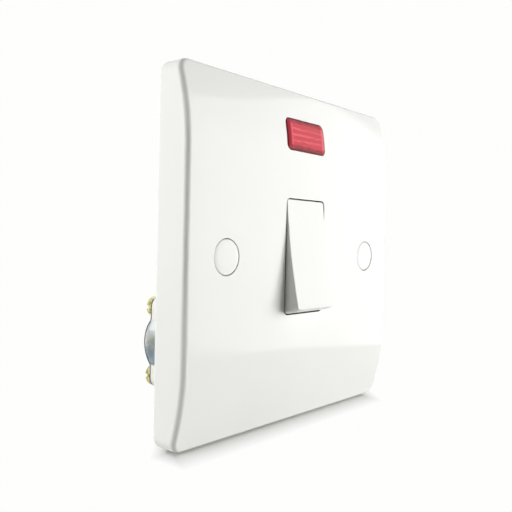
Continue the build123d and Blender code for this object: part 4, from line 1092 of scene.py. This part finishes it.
def white_surroundings(world, fill):
    """White for what is seen directly, mirrored or through glass, and a dimmer light on the rest."""
    world.use_nodes = True
    tree = world.node_tree
    tree.nodes.clear()
    path = add_node(tree, "ShaderNodeLightPath")
    seen = add_node(
        tree,
        "ShaderNodeMath",
        {"operation": "ADD"},
        {0: path.outputs["Is Camera Ray"], 1: path.outputs["Is Glossy Ray"]},
    )
    seen_through = add_node(
        tree,
        "ShaderNodeMath",
        {"operation": "ADD", "use_clamp": True},
        {0: seen.outputs[0], 1: path.outputs["Is Transmission Ray"]},
    )
    dim = add_node(tree, "ShaderNodeBackground", inputs={"Color": linear("#ffffff"), "Strength": fill})
    white = add_node(tree, "ShaderNodeBackground", inputs={"Color": linear(WHITE), "Strength": 1.0})
    mixed = add_node(
        tree,
        "ShaderNodeMixShader",
        inputs={0: seen_through.outputs[0], 1: dim.outputs[0], 2: white.outputs[0]},
    )
    add_node(tree, "ShaderNodeOutputWorld", inputs={"Surface": mixed.outputs[0]})


def add_lamp(name, power):
    """A rectangular soft box that faces the point it is aimed at."""
    place, aim, width, height, unseen_by = LAMPS[name]
    lamp = bpy.data.lights.new(name, "AREA")
    lamp.shape = "RECTANGLE"
    lamp.size = width
    lamp.size_y = height
    lamp.energy = power
    holder = bpy.data.objects.new(name, lamp)
    holder.location = place
    holder.rotation_euler = (Vector(aim) - Vector(place)).to_track_quat("-Z", "Y").to_euler()
    holder.visible_camera = False
    setattr(holder, unseen_by, False)
    bpy.context.scene.collection.objects.link(holder)


def add_sheet(name, side, height, material):
    """A flat square of the stage, level at that height."""
    mesh = bpy.data.meshes.new(name)
    shape = bmesh.new()
    bmesh.ops.create_grid(shape, x_segments=1, y_segments=1, size=side / 2)
    bmesh.ops.translate(shape, verts=shape.verts, vec=(0, 0, height))
    shape.to_mesh(mesh)
    shape.free()
    mesh.materials.append(material)
    sheet = bpy.data.objects.new(name, mesh)
    bpy.context.scene.collection.objects.link(sheet)
    return sheet


def add_flag(stage):
    """A dark board by the camera, seen only in reflections and through glass."""
    flag = add_sheet("flag", stage.flag_size, 0, black_felt(stage))
    flag.location = FLAG_PLACE
    flag.rotation_euler = (-FLAG_PLACE).to_track_quat("Z", "Y").to_euler()
    flag.visible_camera = False
    flag.visible_diffuse = False
    flag.visible_shadow = False


def add_camera(scene):
    """The camera, turned from the wall's normal by its yaw, then pitched and rolled."""
    camera = bpy.data.cameras.new("camera")
    camera.sensor_width = CAMERA_SENSOR
    camera.lens = CAMERA_LENS
    camera.clip_start = CAMERA_NEAR
    holder = bpy.data.objects.new("camera", camera)
    level = Matrix.Rotation(-CAMERA_YAW, 4, "Z") @ Matrix.Rotation(math.pi / 2, 4, "X")
    tipped = level @ Matrix.Rotation(CAMERA_PITCH, 4, "X") @ Matrix.Rotation(CAMERA_ROLL, 4, "Z")
    holder.matrix_world = Matrix.Translation(CAMERA_PLACE) @ tipped
    scene.collection.objects.link(holder)
    scene.camera = holder


class SWITCH_OT_stage(bpy.types.Operator):
    """Set the switch on a white sweep with soft studio light and a camera"""

    bl_idname = "switch.stage"
    bl_label = "Stage"

    def execute(self, context):
        scene = context.scene
        stage = scene.switch_stage
        scene.view_settings.view_transform = "Standard"
        add_sheet("sweep", SWEEP_SIZE, CAD_BOX[0].z, paper_sweep(stage))
        scene.world = scene.world or bpy.data.worlds.new("surroundings")
        white_surroundings(scene.world, stage.fill)
        for name in LAMPS:
            add_lamp(name, getattr(stage, f"{name}_power"))
        add_flag(stage)
        add_camera(scene)
        return {"FINISHED"}


class SWITCH_PT_sidebar(bpy.types.Panel):
    """Steps that dress the switch, in the 3D view's sidebar"""

    bl_idname = "SWITCH_PT_sidebar"
    bl_label = "Double pole switch"
    bl_space_type = "VIEW_3D"
    bl_region_type = "UI"
    bl_category = "Switch"

    def draw(self, context):
        for step in STEPS:
            self.layout.operator(step.bl_idname)


STEPS = (
    SWITCH_OT_mouldings,
    SWITCH_OT_neon,
    SWITCH_OT_contacts,
    SWITCH_OT_housing,
    SWITCH_OT_clamp,
    SWITCH_OT_stage,
)
CLASSES = (SwitchColours, SwitchSizes, StageSettings, *STEPS, SWITCH_PT_sidebar)


def register():
    for cls in CLASSES:
        bpy.utils.register_class(cls)
    bpy.types.Scene.switch_colours = bpy.props.PointerProperty(type=SwitchColours)
    bpy.types.Scene.switch_sizes = bpy.props.PointerProperty(type=SwitchSizes)
    bpy.types.Scene.switch_stage = bpy.props.PointerProperty(type=StageSettings)


def unregister():
    del bpy.types.Scene.switch_stage
    del bpy.types.Scene.switch_sizes
    del bpy.types.Scene.switch_colours
    for cls in reversed(CLASSES):
        bpy.utils.unregister_class(cls)


def main():
    register()
    bpy.ops.switch.mouldings()
    bpy.ops.switch.neon()
    bpy.ops.switch.contacts()
    bpy.ops.switch.housing()
    bpy.ops.switch.clamp()
    bpy.ops.switch.stage()


if __name__ == "__main__":
    main()
